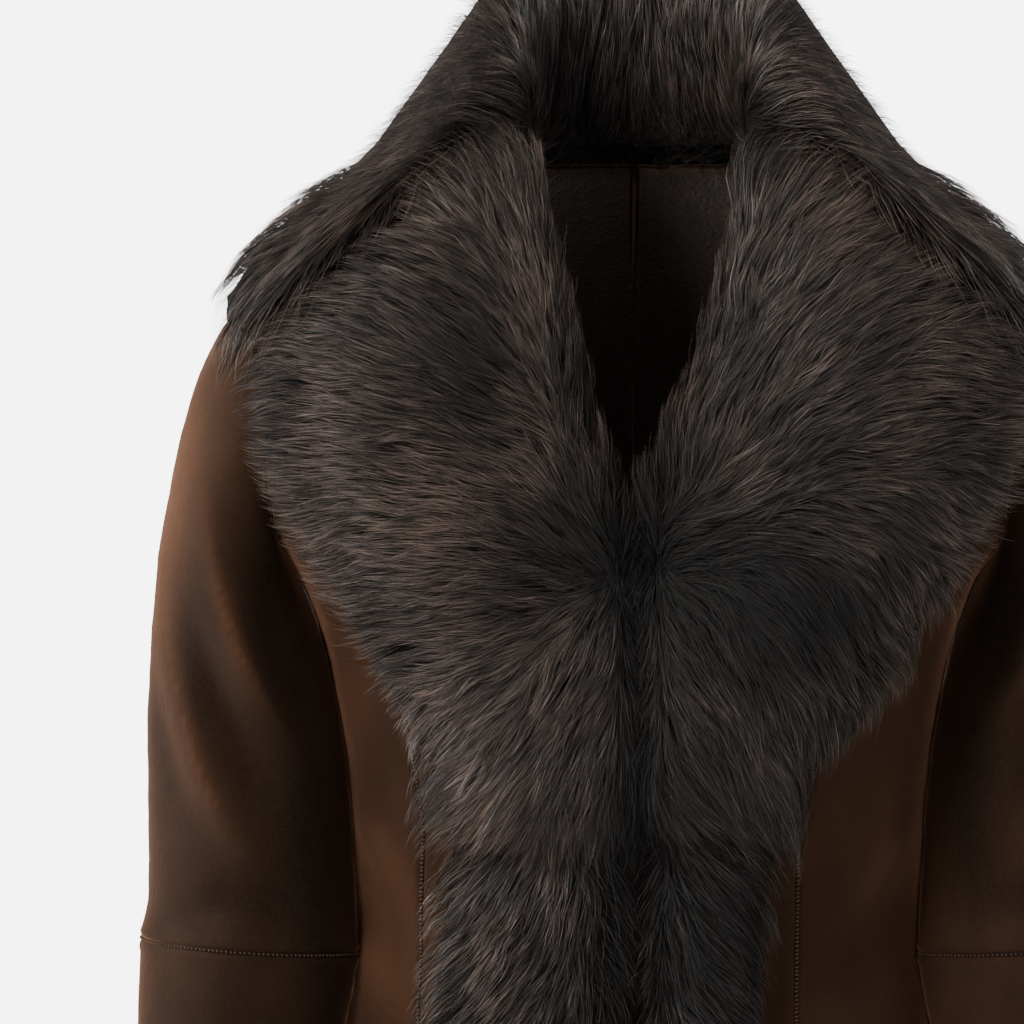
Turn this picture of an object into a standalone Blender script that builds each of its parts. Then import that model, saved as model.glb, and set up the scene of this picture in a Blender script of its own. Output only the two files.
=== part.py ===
"""A hip-length shearling coat, hung as if worn, with long fur on collar, revers and front edges.

Metres, +Z up, the front faces -Y.  The origin is the middle of the neck opening, where a
wearer holds the coat up.  "left" and "right" are the wearer's, so left is +X.
Every suede piece is a wall of one hide, every fur piece is a plump closed loft that
reaches as far as its hair does.
"""

import math

import bpy
import bmesh
from mathutils import Vector
from mathutils.bvhtree import BVHTree

# --- driving sizes, metres -------------------------------------------------------------
HIDE = 0.004  # thickness of the hide with its shorn wool inside
SEAM = 0.0003  # space left at every seam
LAY = 0.0012  # space between laid front fur and what it lies on
LEAF_LAY = 0.0038  # the same under the collar, whose steps are longer
NECK_Z = 0.0  # neck seam
ARMPIT_Z = -0.218
SHOULDER_Z = -0.073  # end of the shoulder seam
HEM_Z = -0.850
ARMHOLE_STEPS = 11  # rows of every body piece beside the armhole, half the points of a sleeve ring
PRINCESS_STEP = 5  # the row, from the shoulder down, where the front seam runs into the armhole
V_Z = -0.166  # foot of the neck opening
LAP_DROP = 0.0070  # how far the left front lies deeper where it runs under the right one
FUR = 0.027  # hair length on revers and bands
FUR_SPILL = 0.010  # how far hair reaches past a hide's own edge
TOP_SPILL = 0.014  # the same at the top of the revers, up against the collar
LEAF_MAX = 0.036  # thickest part of the collar's leaf
LEAF_MIN = 0.010
REACH_ROUND = 0.006  # how far round a place laid hide feels for what is below
TAUT = 3  # rounds of pulling laid hide straight over what lies below

# body sections: half width to the side, depth to front and back, power of the curve
BODY_COLUMNS = ("z", "half_width", "front", "back", "power")
BODY = (
    (-0.850, 0.222, 0.160, 0.172, 2.3),
    (-0.660, 0.191, 0.138, 0.150, 2.3),
    (-0.560, 0.170, 0.124, 0.137, 2.3),
    (-0.460, 0.1510, 0.109, 0.117, 2.3),
    (-0.400, 0.1440, 0.103, 0.106, 2.3),
    (-0.348, 0.1460, 0.108, 0.104, 2.4),
    (-0.260, 0.1580, 0.126, 0.115, 2.6),
    (-0.218, 0.174, 0.134, 0.124, 2.8),
    (-0.190, 0.194, 0.136, 0.129, 2.9),
    (-0.150, 0.204, 0.133, 0.131, 3.0),
    (-0.110, 0.205, 0.124, 0.128, 3.0),
    (-0.073, 0.197, 0.110, 0.118, 2.9),
    (-0.045, 0.155, 0.093, 0.102, 2.6),
    (-0.020, 0.108, 0.074, 0.086, 2.3),
    (0.000, 0.076, 0.058, 0.072, 2.1),
)

# half opening of the armhole, in degrees round the body from its side
ARMHOLE_COLUMNS = ("z", "degrees")
ARMHOLE = (
    (-0.218, 0.0),
    (-0.210, 9.0),
    (-0.195, 17.0),
    (-0.170, 24.0),
    (-0.140, 27.0),
    (-0.110, 25.0),
    (-0.090, 18.0),
    (-0.079, 9.5),
    (-0.073, 0.0),
)

# the front seam that shapes bust and waist, and the two front edges, as sideways distance
SEAM_COLUMNS = ("z", "princess_right", "princess_left", "edge_right", "edge_left")
FRONT_SEAMS = (
    (-0.850, 0.150, 0.112, 0.0040, -0.0340),
    (-0.660, 0.132, 0.096, 0.0040, -0.0340),
    (-0.449, 0.113, 0.079, 0.0040, -0.0330),
    (-0.350, 0.110, 0.080, 0.0015, -0.0300),
    (-0.300, 0.116, 0.092, 0.0010, -0.0280),
    (-0.240, 0.136, 0.120, 0.0010, -0.0240),
    (-0.190, 0.166, 0.160, 0.0060, -0.0150),
    (-0.166, 0.178, 0.177, 0.0180, 0.0080),
    (-0.133, 0.188, 0.188, 0.0310, 0.0250),
    (-0.110, 0.188, 0.188, 0.0390, 0.0350),
    (-0.060, 0.188, 0.188, 0.0520, 0.0500),
    (0.000, 0.188, 0.188, 0.0580, 0.0580),
)

# sleeve rings: outer and inner point in the front view, then middle and half of the depth
SLEEVE_COLUMNS = ("along", "out_x", "out_z", "in_x", "in_z", "mid_y", "half_y")
SLEEVE = (
    (0.00, 0.2000, -0.0730, 0.1750, -0.2180, 0.000, 0.074),
    (0.07, 0.2190, -0.0830, 0.1775, -0.2230, -0.001, 0.074),
    (0.17, 0.2380, -0.1500, 0.1735, -0.2350, -0.003, 0.072),
    (0.28, 0.2500, -0.2250, 0.1625, -0.2620, -0.004, 0.069),
    (0.40, 0.2540, -0.3070, 0.1510, -0.3160, -0.004, 0.065),
    (0.50, 0.2535, -0.3800, 0.1500, -0.3860, -0.003, 0.062),
    (0.54, 0.2575, -0.4030, 0.1465, -0.4100, -0.003, 0.063),
    (0.60, 0.2590, -0.4490, 0.1535, -0.4520, -0.006, 0.062),
    (0.72, 0.2700, -0.5300, 0.1730, -0.5350, -0.014, 0.058),
    (0.88, 0.2900, -0.6200, 0.2000, -0.6260, -0.026, 0.053),
    (1.00, 0.3000, -0.6700, 0.2130, -0.6770, -0.033, 0.051),
)
ELBOW = 0.54  # where the sleeve's cross seam runs

# soft folds: three points of the crest in the front view, height, width, which face, which side
FOLD_COLUMNS = ("x0", "z0", "x1", "z1", "x2", "z2", "height", "width", "face", "side")
SLEEVE_FOLDS = (
    (0.223, -0.163, 0.208, -0.235, 0.176, -0.299, 0.0070, 0.012, "front", "right"),
    (0.248, -0.211, 0.238, -0.270, 0.212, -0.337, 0.0060, 0.012, "front", "right"),
    (0.204, -0.185, 0.188, -0.240, 0.162, -0.290, -0.0050, 0.010, "front", "right"),
    (0.232, -0.392, 0.205, -0.376, 0.165, -0.388, -0.0035, 0.011, "front", "right"),
    (0.226, -0.170, 0.206, -0.240, 0.172, -0.290, 0.0065, 0.012, "front", "left"),
    (0.250, -0.225, 0.236, -0.285, 0.206, -0.345, 0.0055, 0.012, "front", "left"),
    (0.232, -0.392, 0.205, -0.376, 0.165, -0.388, -0.0035, 0.011, "front", "left"),
    (0.225, -0.180, 0.212, -0.245, 0.180, -0.305, 0.0060, 0.013, "back", "right"),
    (0.246, -0.330, 0.215, -0.360, 0.172, -0.375, -0.0045, 0.012, "back", "right"),
    (0.228, -0.175, 0.210, -0.250, 0.178, -0.300, 0.0060, 0.013, "back", "left"),
    (0.246, -0.330, 0.215, -0.360, 0.172, -0.375, -0.0045, 0.012, "back", "left"),
    (0.262, -0.500, 0.235, -0.520, 0.205, -0.520, 0.0040, 0.013, "front", "right"),
    (0.262, -0.500, 0.235, -0.520, 0.205, -0.520, 0.0040, 0.013, "front", "left"),
)
BODY_FOLDS = (
    (0.146, -0.345, 0.136, -0.358, 0.120, -0.378, 0.0045, 0.011, "front", "right"),
    (0.160, -0.250, 0.150, -0.285, 0.132, -0.330, 0.0035, 0.012, "front", "right"),
    (0.132, -0.385, 0.124, -0.400, 0.112, -0.425, -0.0035, 0.011, "front", "right"),
    (0.142, -0.342, 0.128, -0.360, 0.108, -0.380, 0.0040, 0.011, "front", "left"),
    (0.132, -0.390, 0.118, -0.405, 0.098, -0.420, -0.0035, 0.011, "front", "left"),
    (0.190, -0.680, 0.180, -0.760, 0.184, -0.850, 0.0060, 0.020, "front", "right"),
    (0.186, -0.670, 0.178, -0.750, 0.182, -0.850, 0.0060, 0.020, "front", "left"),
    (0.120, -0.352, 0.080, -0.366, 0.030, -0.362, 0.0045, 0.013, "back", "right"),
    (0.116, -0.360, 0.070, -0.376, 0.020, -0.372, 0.0040, 0.013, "back", "left"),
    (0.110, -0.410, 0.070, -0.424, 0.020, -0.418, -0.0040, 0.013, "back", "right"),
    (0.118, -0.404, 0.076, -0.418, 0.030, -0.414, -0.0040, 0.013, "back", "left"),
    (0.100, -0.620, 0.098, -0.730, 0.108, -0.850, 0.0080, 0.024, "back", "right"),
    (0.104, -0.610, 0.102, -0.720, 0.112, -0.850, 0.0080, 0.024, "back", "left"),
)

# revers: rulings from the roll at the neck opening to the outer edge, in the front view
REVERS_COLUMNS = ("along", "in_x", "in_z", "out_x", "out_z")
REVERS_RIGHT = (
    (0.00, 0.0115, -0.3386, 0.0900, -0.3386),
    (0.12, 0.0115, -0.290, 0.1120, -0.290),
    (0.25, 0.0117, -0.240, 0.1410, -0.238),
    (0.38, 0.0140, -0.196, 0.1700, -0.190),
    (0.50, 0.0205, -0.160, 0.1880, -0.152),
    (0.60, 0.0300, -0.130, 0.1930, -0.122),
    (0.68, 0.0365, -0.106, 0.1890, -0.103),
    (0.76, 0.0430, -0.082, 0.1760, -0.090),
    (0.84, 0.0495, -0.058, 0.1580, -0.072),
    (0.92, 0.0530, -0.036, 0.1380, -0.050),
    (1.00, 0.0570, -0.012, 0.1060, -0.024),
)
REVERS_LEFT = (
    (0.00, 0.0100, -0.3386, 0.0720, -0.3386),
    (0.06, 0.0100, -0.318, 0.0850, -0.318),
    (0.14, 0.0098, -0.288, 0.1080, -0.292),
    (0.25, 0.0095, -0.244, 0.1320, -0.246),
    (0.38, 0.0075, -0.196, 0.1680, -0.192),
    (0.50, 0.0066, -0.164, 0.1870, -0.153),
    (0.60, 0.0220, -0.130, 0.1930, -0.122),
    (0.68, 0.0335, -0.106, 0.1890, -0.103),
    (0.76, 0.0420, -0.082, 0.1760, -0.090),
    (0.84, 0.0490, -0.058, 0.1580, -0.072),
    (0.92, 0.0530, -0.036, 0.1380, -0.050),
    (1.00, 0.0570, -0.012, 0.1060, -0.024),
)

# fur bands below the revers: inner and outer edge of the hide they grow on
BAND_COLUMNS = ("z", "in_right", "out_right", "in_left", "out_left")
BANDS = (
    (-0.843, 0.0145, 0.114, 0.0075, 0.070),
    (-0.660, 0.0145, 0.110, 0.0075, 0.064),
    (-0.449, 0.0145, 0.107, 0.0075, 0.057),
    (-0.385, 0.0125, 0.100, 0.0090, 0.058),
    (-0.339, 0.0115, 0.090, 0.0100, 0.072),
)

# collar: its fur outline from the neck seam over the roll to the leaf's edge, at three places
COLLAR_COLUMNS = ("step", "back_r", "back_z", "side_r", "side_z", "front_r", "front_z")
COLLAR = (
    (0, 0.055, 0.0005, 0.053, 0.0005, 0.070, 0.0005),
    (1, 0.054, 0.048, 0.050, 0.045, 0.067, 0.022),
    (2, 0.058, 0.088, 0.053, 0.084, 0.071, 0.044),
    (3, 0.075, 0.107, 0.067, 0.104, 0.082, 0.056),
    (4, 0.095, 0.098, 0.085, 0.090, 0.098, 0.050),
    (5, 0.111, 0.075, 0.103, 0.062, 0.114, 0.036),
    (6, 0.125, 0.048, 0.122, 0.036, 0.130, 0.018),
    (7, 0.137, 0.018, 0.139, 0.011, 0.146, -0.003),
    (8, 0.147, -0.014, 0.158, -0.008, 0.163, -0.030),
    (9, 0.155, -0.046, 0.182, -0.021, 0.182, -0.056),
    (10, 0.161, -0.078, 0.204, -0.043, 0.199, -0.078),
    (11, 0.158, -0.106, 0.219, -0.068, 0.210, -0.098),
)
# the hollow between leaf and stand, from the leaf's underside back to the neck seam
HOLLOW = (
    (0, 0.092, 0.057, 0.084, 0.044, 0.104, 0.012),
    (1, 0.084, 0.074, 0.077, 0.072, 0.096, 0.010),
    (2, 0.079, 0.072, 0.072, 0.070, 0.091, 0.008),
    (3, 0.075, 0.029, 0.071, 0.027, 0.090, 0.004),
    (4, 0.073, 0.0005, 0.071, 0.0005, 0.088, 0.0005),
)
# how far round the neck the collar runs on each side, in degrees from the middle of the back
REACH_COLUMNS = ("r", "degrees")
REACH = ((0.050, 134.0), (0.100, 132.0), (0.160, 128.0), (0.220, 117.0))

# grid counts: along the piece, then across it
BODY_ROWS = 11  # rows from hem to armpit
SHOULDER_ROWS = (-0.060, -0.045, -0.030, -0.014)
BACK_COLUMNS = 10
CENTRE_STOPS = (0.0, 0.16, 0.31, 0.43, 0.62, 0.81, 1.0)
SIDE_COLUMNS = 8
UPPER_RINGS = (0.0, 0.08, 0.15, 0.20, 0.25, 0.30, 0.35, 0.39, 0.43, 0.47, 0.505, 0.54)
LOWER_RINGS = (0.54, 0.60, 0.69, 0.78, 0.87, 0.94, 1.0)
REVERS_GRID = (16, 10)
BAND_GRID = (11, 4)
COLLAR_TURN = 28


# --- small helpers ---------------------------------------------------------------------
def read(table, columns, key):
    """A row between the rows of a table, on a curve that never overshoots them."""
    keys = [row[0] for row in table]
    place = min(max(key, keys[0]), keys[-1])
    i = 0
    while i < len(keys) - 2 and place > keys[i + 1]:
        i += 1
    step = keys[i + 1] - keys[i]
    t = (place - keys[i]) / step
    out = {}
    for col in range(1, len(columns)):
        a = table[i][col]
        b = table[i + 1][col]
        m0 = slope(table, i, col) * step
        m1 = slope(table, i + 1, col) * step
        t2 = t * t
        t3 = t2 * t
        value = (2 * t3 - 3 * t2 + 1) * a + (t3 - 2 * t2 + t) * m0
        out[columns[col]] = value + (3 * t2 - 2 * t3) * b + (t3 - t2) * m1
    return out


def slope(table, i, col):
    """Slope of a column at a row: the harmonic mean of its neighbours, or level at a turn."""
    if i == 0 or i == len(table) - 1:
        j = min(i, len(table) - 2)
        return (table[j + 1][col] - table[j][col]) / (table[j + 1][0] - table[j][0])
    before = (table[i][col] - table[i - 1][col]) / (table[i][0] - table[i - 1][0])
    after = (table[i + 1][col] - table[i][col]) / (table[i + 1][0] - table[i][0])
    if before * after <= 0:
        return 0.0
    return 2 * before * after / (before + after)


def ease(t):
    """0 to 1 with soft ends."""
    t = min(max(t, 0.0), 1.0)
    return t * t * (3 - 2 * t)


def fold_height(folds, x, z, face, side):
    """Height of all folds of one face and side at a place in the front view."""
    total = 0.0
    for row in folds:
        fold = dict(zip(FOLD_COLUMNS, row))
        if fold["face"] != face or fold["side"] != side:
            continue
        nearest = 1.0
        along = 0.0
        for k in range(13):
            t = k / 12
            a, b, c = (1 - t) ** 2, 2 * t * (1 - t), t * t
            dx = a * fold["x0"] + b * fold["x1"] + c * fold["x2"] - x
            dz = a * fold["z0"] + b * fold["z1"] + c * fold["z2"] - z
            if math.hypot(dx, dz) < nearest:
                nearest = math.hypot(dx, dz)
                along = t
        fade = 0.35 + 0.65 * math.sin(math.pi * along)
        total += fold["height"] * fade * math.exp(-0.5 * (nearest / fold["width"]) ** 2)
    return total


def face_normal(surface, u, v, du, dv):
    """Outward normal of a surface function by small steps to both sides."""
    along_u = surface(u + du, v) - surface(u - du, v)
    along_v = surface(u, v + dv) - surface(u, v - dv)
    return along_u.cross(along_v).normalized()


def material(name, color, roughness):
    """A plain Principled material for one kind of surface."""
    mat = bpy.data.materials.get(name)
    if mat is None:
        mat = bpy.data.materials.new(name)
        mat.use_nodes = True
        shader = mat.node_tree.nodes["Principled BSDF"]
        shader.inputs["Base Color"].default_value = (*color, 1.0)
        shader.inputs["Roughness"].default_value = roughness
        shader.inputs["Metallic"].default_value = 0.0
    return mat


def finish(name, bm, mat):
    """Turn a closed bmesh into a named object with outward faces."""
    bmesh.ops.recalc_face_normals(bm, faces=bm.faces)
    mesh = bpy.data.meshes.new(name)
    bm.to_mesh(mesh)
    bm.free()
    obj = bpy.data.objects.new(name, mesh)
    bpy.context.scene.collection.objects.link(obj)
    mesh.materials.append(mat)
    mesh.shade_smooth()
    mesh.set_sharp_from_angle(angle=math.radians(50))
    return obj


def wall(name, outer, inner, round_piece, mat):
    """Close two equal grids of points into a wall; a round piece joins its last column."""
    bm = bmesh.new()
    rows = len(outer)
    cols = len(outer[0])
    a = [[bm.verts.new(p) for p in row] for row in outer]
    b = [[bm.verts.new(p) for p in row] for row in inner]
    steps = cols if round_piece else cols - 1
    for i in range(rows - 1):
        for j in range(steps):
            k = (j + 1) % cols
            bm.faces.new((a[i][j], a[i][k], a[i + 1][k], a[i + 1][j]))
            bm.faces.new((b[i][j], b[i + 1][j], b[i + 1][k], b[i][k]))
    for j in range(steps):
        k = (j + 1) % cols
        for i in (0, rows - 1):
            bm.faces.new((a[i][j], a[i][k], b[i][k], b[i][j]))
    if not round_piece:
        for i in range(rows - 1):
            for j in (0, cols - 1):
                bm.faces.new((a[i][j], b[i][j], b[i + 1][j], a[i + 1][j]))
    return finish(name, bm, mat)


def loft(name, rings, mat):
    """Close a row of equal rings into one plump body with flat ends."""
    bm = bmesh.new()
    loops = [[bm.verts.new(p) for p in ring] for ring in rings]
    count = len(loops[0])
    for i in range(len(loops) - 1):
        for j in range(count):
            k = (j + 1) % count
            bm.faces.new((loops[i][j], loops[i][k], loops[i + 1][k], loops[i + 1][j]))
    for ring in (loops[0], loops[-1]):
        for k in range((count - 1) // 2):
            corners = [ring[k], ring[k + 1], ring[count - 2 - k], ring[count - 1 - k]]
            bm.faces.new(list(dict.fromkeys(corners)))
    return finish(name, bm, mat)


# --- body ------------------------------------------------------------------------------
def body_point(degrees, z, drop=0.0):
    """Outer face of the body; 0 degrees is the left side, 90 the back, 270 the front."""
    row = read(BODY, BODY_COLUMNS, z)
    c = math.cos(math.radians(degrees))
    s = math.sin(math.radians(degrees))
    depth = row["back"] if s > 0 else row["front"]
    power = 2 / row["power"]
    x = math.copysign(abs(c) ** power, c)
    y = math.copysign(abs(s) ** power, s)
    face = "back" if s > 0 else "front"
    side = "left" if c > 0 else "right"
    flat_x = row["half_width"] * x
    lift = fold_height(BODY_FOLDS, abs(flat_x), z, face, side) * ease(abs(y) * 1.6 - 0.1) - drop
    way = Vector((x / row["half_width"], y / depth, 0)).normalized()
    return Vector((flat_x, depth * y, z)) + way * lift


def body_wall(degrees, z, drop=0.0):
    """Outer and inner point of the hide at one place."""
    here = body_point(degrees, z, drop)
    low = min(max(z, HEM_Z + 0.001), NECK_Z - 0.001)
    out = face_normal(lambda u, v: body_point(u, v), degrees, low, 0.3, 0.001)
    return here, here - out * HIDE


def turn_at(x, z):
    """Degrees from the side at which the body has this sideways distance."""
    row = read(BODY, BODY_COLUMNS, z)
    share = min(abs(x) / row["half_width"], 0.9999)
    return math.degrees(math.acos(share ** (row["power"] / 2)))


def degrees_at(x, z):
    """Front angle for a sideways distance, negative for the right."""
    return 360 - turn_at(x, z) if x >= 0 else 180 + turn_at(x, z)


def armhole_degrees(z):
    """Half opening of the armhole at a height, nothing above or below it."""
    if z <= ARMPIT_Z or z >= SHOULDER_Z:
        return 0.0
    return read(ARMHOLE, ARMHOLE_COLUMNS, z)["degrees"]


def edge_degrees(z):
    """Edge of a body piece at side, armhole or shoulder, in degrees from the side."""
    row = read(BODY, BODY_COLUMNS, z)
    seam = (SEAM / 2 / row["front"]) ** (row["power"] / 2)
    return max(armhole_degrees(z), math.degrees(math.asin(seam)))


def armhole_heights():
    """Rows of the body pieces beside the armhole, from shoulder to armpit."""
    steps = [0.5 + 0.5 * math.cos(math.pi * k / ARMHOLE_STEPS) for k in range(ARMHOLE_STEPS + 1)]
    return [ARMPIT_Z + (SHOULDER_Z - ARMPIT_Z) * rise for rise in steps]


def body_heights():
    """Rows shared by all body pieces, so that they meet point to point at their seams."""
    low = [HEM_Z + (ARMPIT_Z - HEM_Z) * k / BODY_ROWS for k in range(BODY_ROWS)]
    return low + armhole_heights()[::-1] + list(SHOULDER_ROWS) + [NECK_Z - SEAM]


def panel(name, rows, mat):
    """A body piece from rows of (angle, height, drop)."""
    pairs = [[body_wall(*place) for place in row] for row in rows]
    outer = [[p for p, q in row] for row in pairs]
    inner = [[q for p, q in row] for row in pairs]
    return wall(name, outer, inner, False, mat)


def make_back(side, mat):
    """Half of the back, from the seam down its middle to the side seam, round the armhole."""
    rows = []
    for z in body_heights():
        edge = edge_degrees(z)
        step = (turn_at(SEAM / 2, z) - edge) / BACK_COLUMNS
        turns = [edge + step * k for k in range(BACK_COLUMNS + 1)]
        rows.append([(turn if side == "left" else 180 - turn, z, 0.0) for turn in turns])
    return panel("back_" + side, rows, mat)


def side_angle(side, z):
    """Angle of a front piece's edge at side, armhole or shoulder."""
    edge = edge_degrees(z)
    return 360 - edge if side == "left" else 180 + edge


def seam_angle(side, z, shift):
    """Angle of the princess seam, moved sideways by part of a seam gap."""
    sign = 1 if side == "left" else -1
    row = read(FRONT_SEAMS, SEAM_COLUMNS, z)
    return degrees_at(sign * (row["princess_" + side] + shift), z)


def lap_drop(side, angle, z):
    """How far the left front lies under the right one."""
    if side == "right":
        return 0.0
    x = body_point(angle, z).x
    return LAP_DROP * ease((0.020 - x) / 0.014) * ease((V_Z + 0.03 - z) / 0.03)


def make_front_centre(side, mat):
    """Front piece from the front edge to the princess seam, then to armhole and shoulder."""
    sign = 1 if side == "left" else -1
    join = armhole_heights()[PRINCESS_STEP]
    rows = []
    for z in body_heights():
        first = degrees_at(sign * read(FRONT_SEAMS, SEAM_COLUMNS, z)["edge_" + side], z)
        last = seam_angle(side, z, -SEAM / 2) if z < join - 0.0001 else side_angle(side, z)
        angles = [first + (last - first) * stop for stop in CENTRE_STOPS]
        rows.append([(angle, z, lap_drop(side, angle, z)) for angle in angles])
    return panel("front_centre_" + side, rows, mat)


def make_front_side(side, mat):
    """Front piece from the princess seam to the side seam, ending in a point at the armhole."""
    join = armhole_heights()[PRINCESS_STEP]
    outer = []
    inner = []
    for z in body_heights():
        if z > join - 0.0001:
            break
        first = seam_angle(side, z, SEAM / 2)
        last = side_angle(side, z)
        step = (last - first) / SIDE_COLUMNS
        pairs = [body_wall(first + step * k, z) for k in range(SIDE_COLUMNS + 1)]
        outer.append([p for p, q in pairs])
        inner.append([q for p, q in pairs])
    tip, deep = body_wall(side_angle(side, join), join)
    outer.append([p.lerp(tip, 0.80) for p in outer[-1]])
    inner.append([p.lerp(deep, 0.80) for p in inner[-1]])
    return wall("front_side_" + side, outer, inner, False, mat)


# --- sleeves ---------------------------------------------------------------------------
def armhole_point(turn):
    """The armhole's edge; 0 is the shoulder, 0.25 the front, 0.5 the armpit, 0.75 the back."""
    rise = 0.5 + 0.5 * math.cos(2 * math.pi * turn)
    z = ARMPIT_Z + (SHOULDER_Z - ARMPIT_Z) * rise
    edge = edge_degrees(z)
    front = math.sin(2 * math.pi * turn) > 0
    return body_point(360 - edge if front else edge, z)


def body_side(y, z):
    """Sideways reach of the body at a depth and height."""
    row = read(BODY, BODY_COLUMNS, z)
    share = min(abs(y) / row["back" if y > 0 else "front"], 1.0)
    return row["half_width"] * (1 - share ** row["power"]) ** (1 / row["power"])


def sleeve_point(along, turn, side="right", folds=True):
    """Outer face of a sleeve, drawn on the left side (+X) with the folds of either side."""
    row = read(SLEEVE, SLEEVE_COLUMNS, along)
    c = math.cos(2 * math.pi * turn)
    s = math.sin(2 * math.pi * turn)
    x = (row["out_x"] + row["in_x"]) / 2 + c * (row["out_x"] - row["in_x"]) / 2
    z = (row["out_z"] + row["in_z"]) / 2 + c * (row["out_z"] - row["in_z"]) / 2
    here = Vector((x, row["mid_y"] - s * row["half_y"], z))
    join = 1 - ease(along / 0.16)
    if join > 0:
        here = here.lerp(armhole_point(turn), join)
    if folds:
        face = "front" if s > 0 else "back"
        lift = fold_height(SLEEVE_FOLDS, here.x, here.z, face, side) * ease(abs(s) * 2)
        here += Vector((c, -s, 0)).normalized() * lift * ease((along - 0.06) / 0.1)
    clear = SEAM + 0.0017 * ease(along / 0.08)
    here.x = max(here.x, body_side(here.y, here.z) + clear)
    return here


def sleeve_middle(along):
    """Middle of a sleeve ring."""
    row = read(SLEEVE, SLEEVE_COLUMNS, along)
    return Vector(((row["out_x"] + row["in_x"]) / 2, row["mid_y"], (row["out_z"] + row["in_z"]) / 2))


def sleeve_part(name, rings, side, mat):
    """A stretch of sleeve as a round wall, mirrored for the right."""
    outer = []
    inner = []
    count = 2 * ARMHOLE_STEPS
    for along in rings:
        ring = [sleeve_point(along, j / count, side) for j in range(count)]
        deep = []
        for here in ring:
            centre = sleeve_middle(along)
            if along == 0.0:
                centre.x = here.x
            deep.append(here - (here - centre).normalized() * HIDE)
        shift = Vector((SEAM, 0, 0)) if along == 0.0 else Vector()
        outer.append([p + shift for p in ring])
        inner.append([p + shift for p in deep])
    if side == "right":
        outer = [[Vector((-p.x, p.y, p.z)) for p in ring] for ring in outer]
        inner = [[Vector((-p.x, p.y, p.z)) for p in ring] for ring in inner]
    return wall(name, outer, inner, True, mat)


def make_sleeve(side, mat):
    """Upper and lower sleeve, split by the cross seam at the elbow."""
    half = SEAM / 2 / 0.60
    upper = UPPER_RINGS[:-1] + (ELBOW - half,)
    lower = (ELBOW + half,) + LOWER_RINGS[1:]
    parts = [sleeve_part("sleeve_upper_" + side, upper, side, mat)]
    parts.append(sleeve_part("sleeve_lower_" + side, lower, side, mat))
    return parts


# --- fur pieces ------------------------------------------------------------------------
def tree_of(objects):
    """A search tree of the outer faces of some objects."""
    verts = []
    faces = []
    for obj in objects:
        base = len(verts)
        verts += [v.co.copy() for v in obj.data.vertices]
        faces += [[base + i for i in f.vertices] for f in obj.data.polygons]
    return BVHTree.FromPolygons(verts, faces)


def front_tree(sleeves):
    """What the front fur lies on: the whole body without its neck opening, and the sleeves."""
    verts = []
    faces = []
    rows = 50
    cols = 40
    for i in range(rows + 1):
        z = HEM_Z + (NECK_Z - HEM_Z) * i / rows
        for j in range(cols + 1):
            verts.append(body_point(180 + 180 * j / cols, z))
    for i in range(rows):
        for j in range(cols):
            a = i * (cols + 1) + j
            faces.append((a, a + 1, a + cols + 2, a + cols + 1))
    for obj in sleeves:
        base = len(verts)
        verts += [v.co.copy() for v in obj.data.vertices]
        faces += [[base + i for i in f.vertices] for f in obj.data.polygons]
    return BVHTree.FromPolygons(verts, faces)


def laid_base(points, tree):
    """Drop a grid of front-view places onto what lies below and pull it taut like hide."""
    grid = []
    for row in points:
        line = []
        for x, z in row:
            near = 0.0
            for dx in (-REACH_ROUND, 0.0, REACH_ROUND):
                for dz in (-REACH_ROUND, 0.0, REACH_ROUND):
                    hit = tree.ray_cast(Vector((x + dx, -1, z + dz)), Vector((0, 1, 0)))[0]
                    near = min(near, hit.y if hit else 0.0)
            line.append(Vector((x, near - LAY, z)))
        grid.append(line)
    for turn in range(TAUT):
        for i in range(len(grid)):
            for j in range(len(grid[0])):
                up = grid[max(i - 1, 0)][j].y + grid[min(i + 1, len(grid) - 1)][j].y
                over = grid[i][max(j - 1, 0)].y + grid[i][min(j + 1, len(grid[0]) - 1)].y
                grid[i][j].y = min(grid[i][j].y, (up + over) / 4)
    return grid


def grid_normal(grid, i, j):
    """Normal of a grid towards the front."""
    rows = len(grid) - 1
    cols = len(grid[0]) - 1
    along = grid[min(i + 1, rows)][j] - grid[max(i - 1, 0)][j]
    across = grid[i][min(j + 1, cols)] - grid[i][max(j - 1, 0)]
    out = along.cross(across).normalized()
    return -out if out.y > 0 else out


def fur_rings(grid, end_share, end_spill, level_ends):
    """Rings of a fur piece: its hide below, and hair over it that spills past its edges."""
    rings = []
    cols = len(grid[0])
    for i, row in enumerate(grid):
        share = i / (len(grid) - 1)
        full = end_share(share)
        rise = end_spill * ease((share - 0.80) / 0.20)
        ring = list(row)
        for j in range(cols - 1, -1, -1):
            t = j / (cols - 1)
            out = grid_normal(grid, i, j)
            if share in level_ends:
                out = Vector((out.x, out.y, 0)).normalized()
            side = (row[min(j + 1, cols - 1)] - row[max(j - 1, 0)]).normalized()
            round_off = math.sin(math.pi * (0.10 + 0.80 * t)) ** 0.55
            spill = FUR_SPILL * math.copysign(abs(2 * t - 1) ** 3, 2 * t - 1)
            top = (grid[-1][j] - grid[-3][j]).normalized() * rise * round_off
            ring.append(row[j] + out * FUR * full * round_off + side * spill + top)
        rings.append(ring)
    return rings


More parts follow.
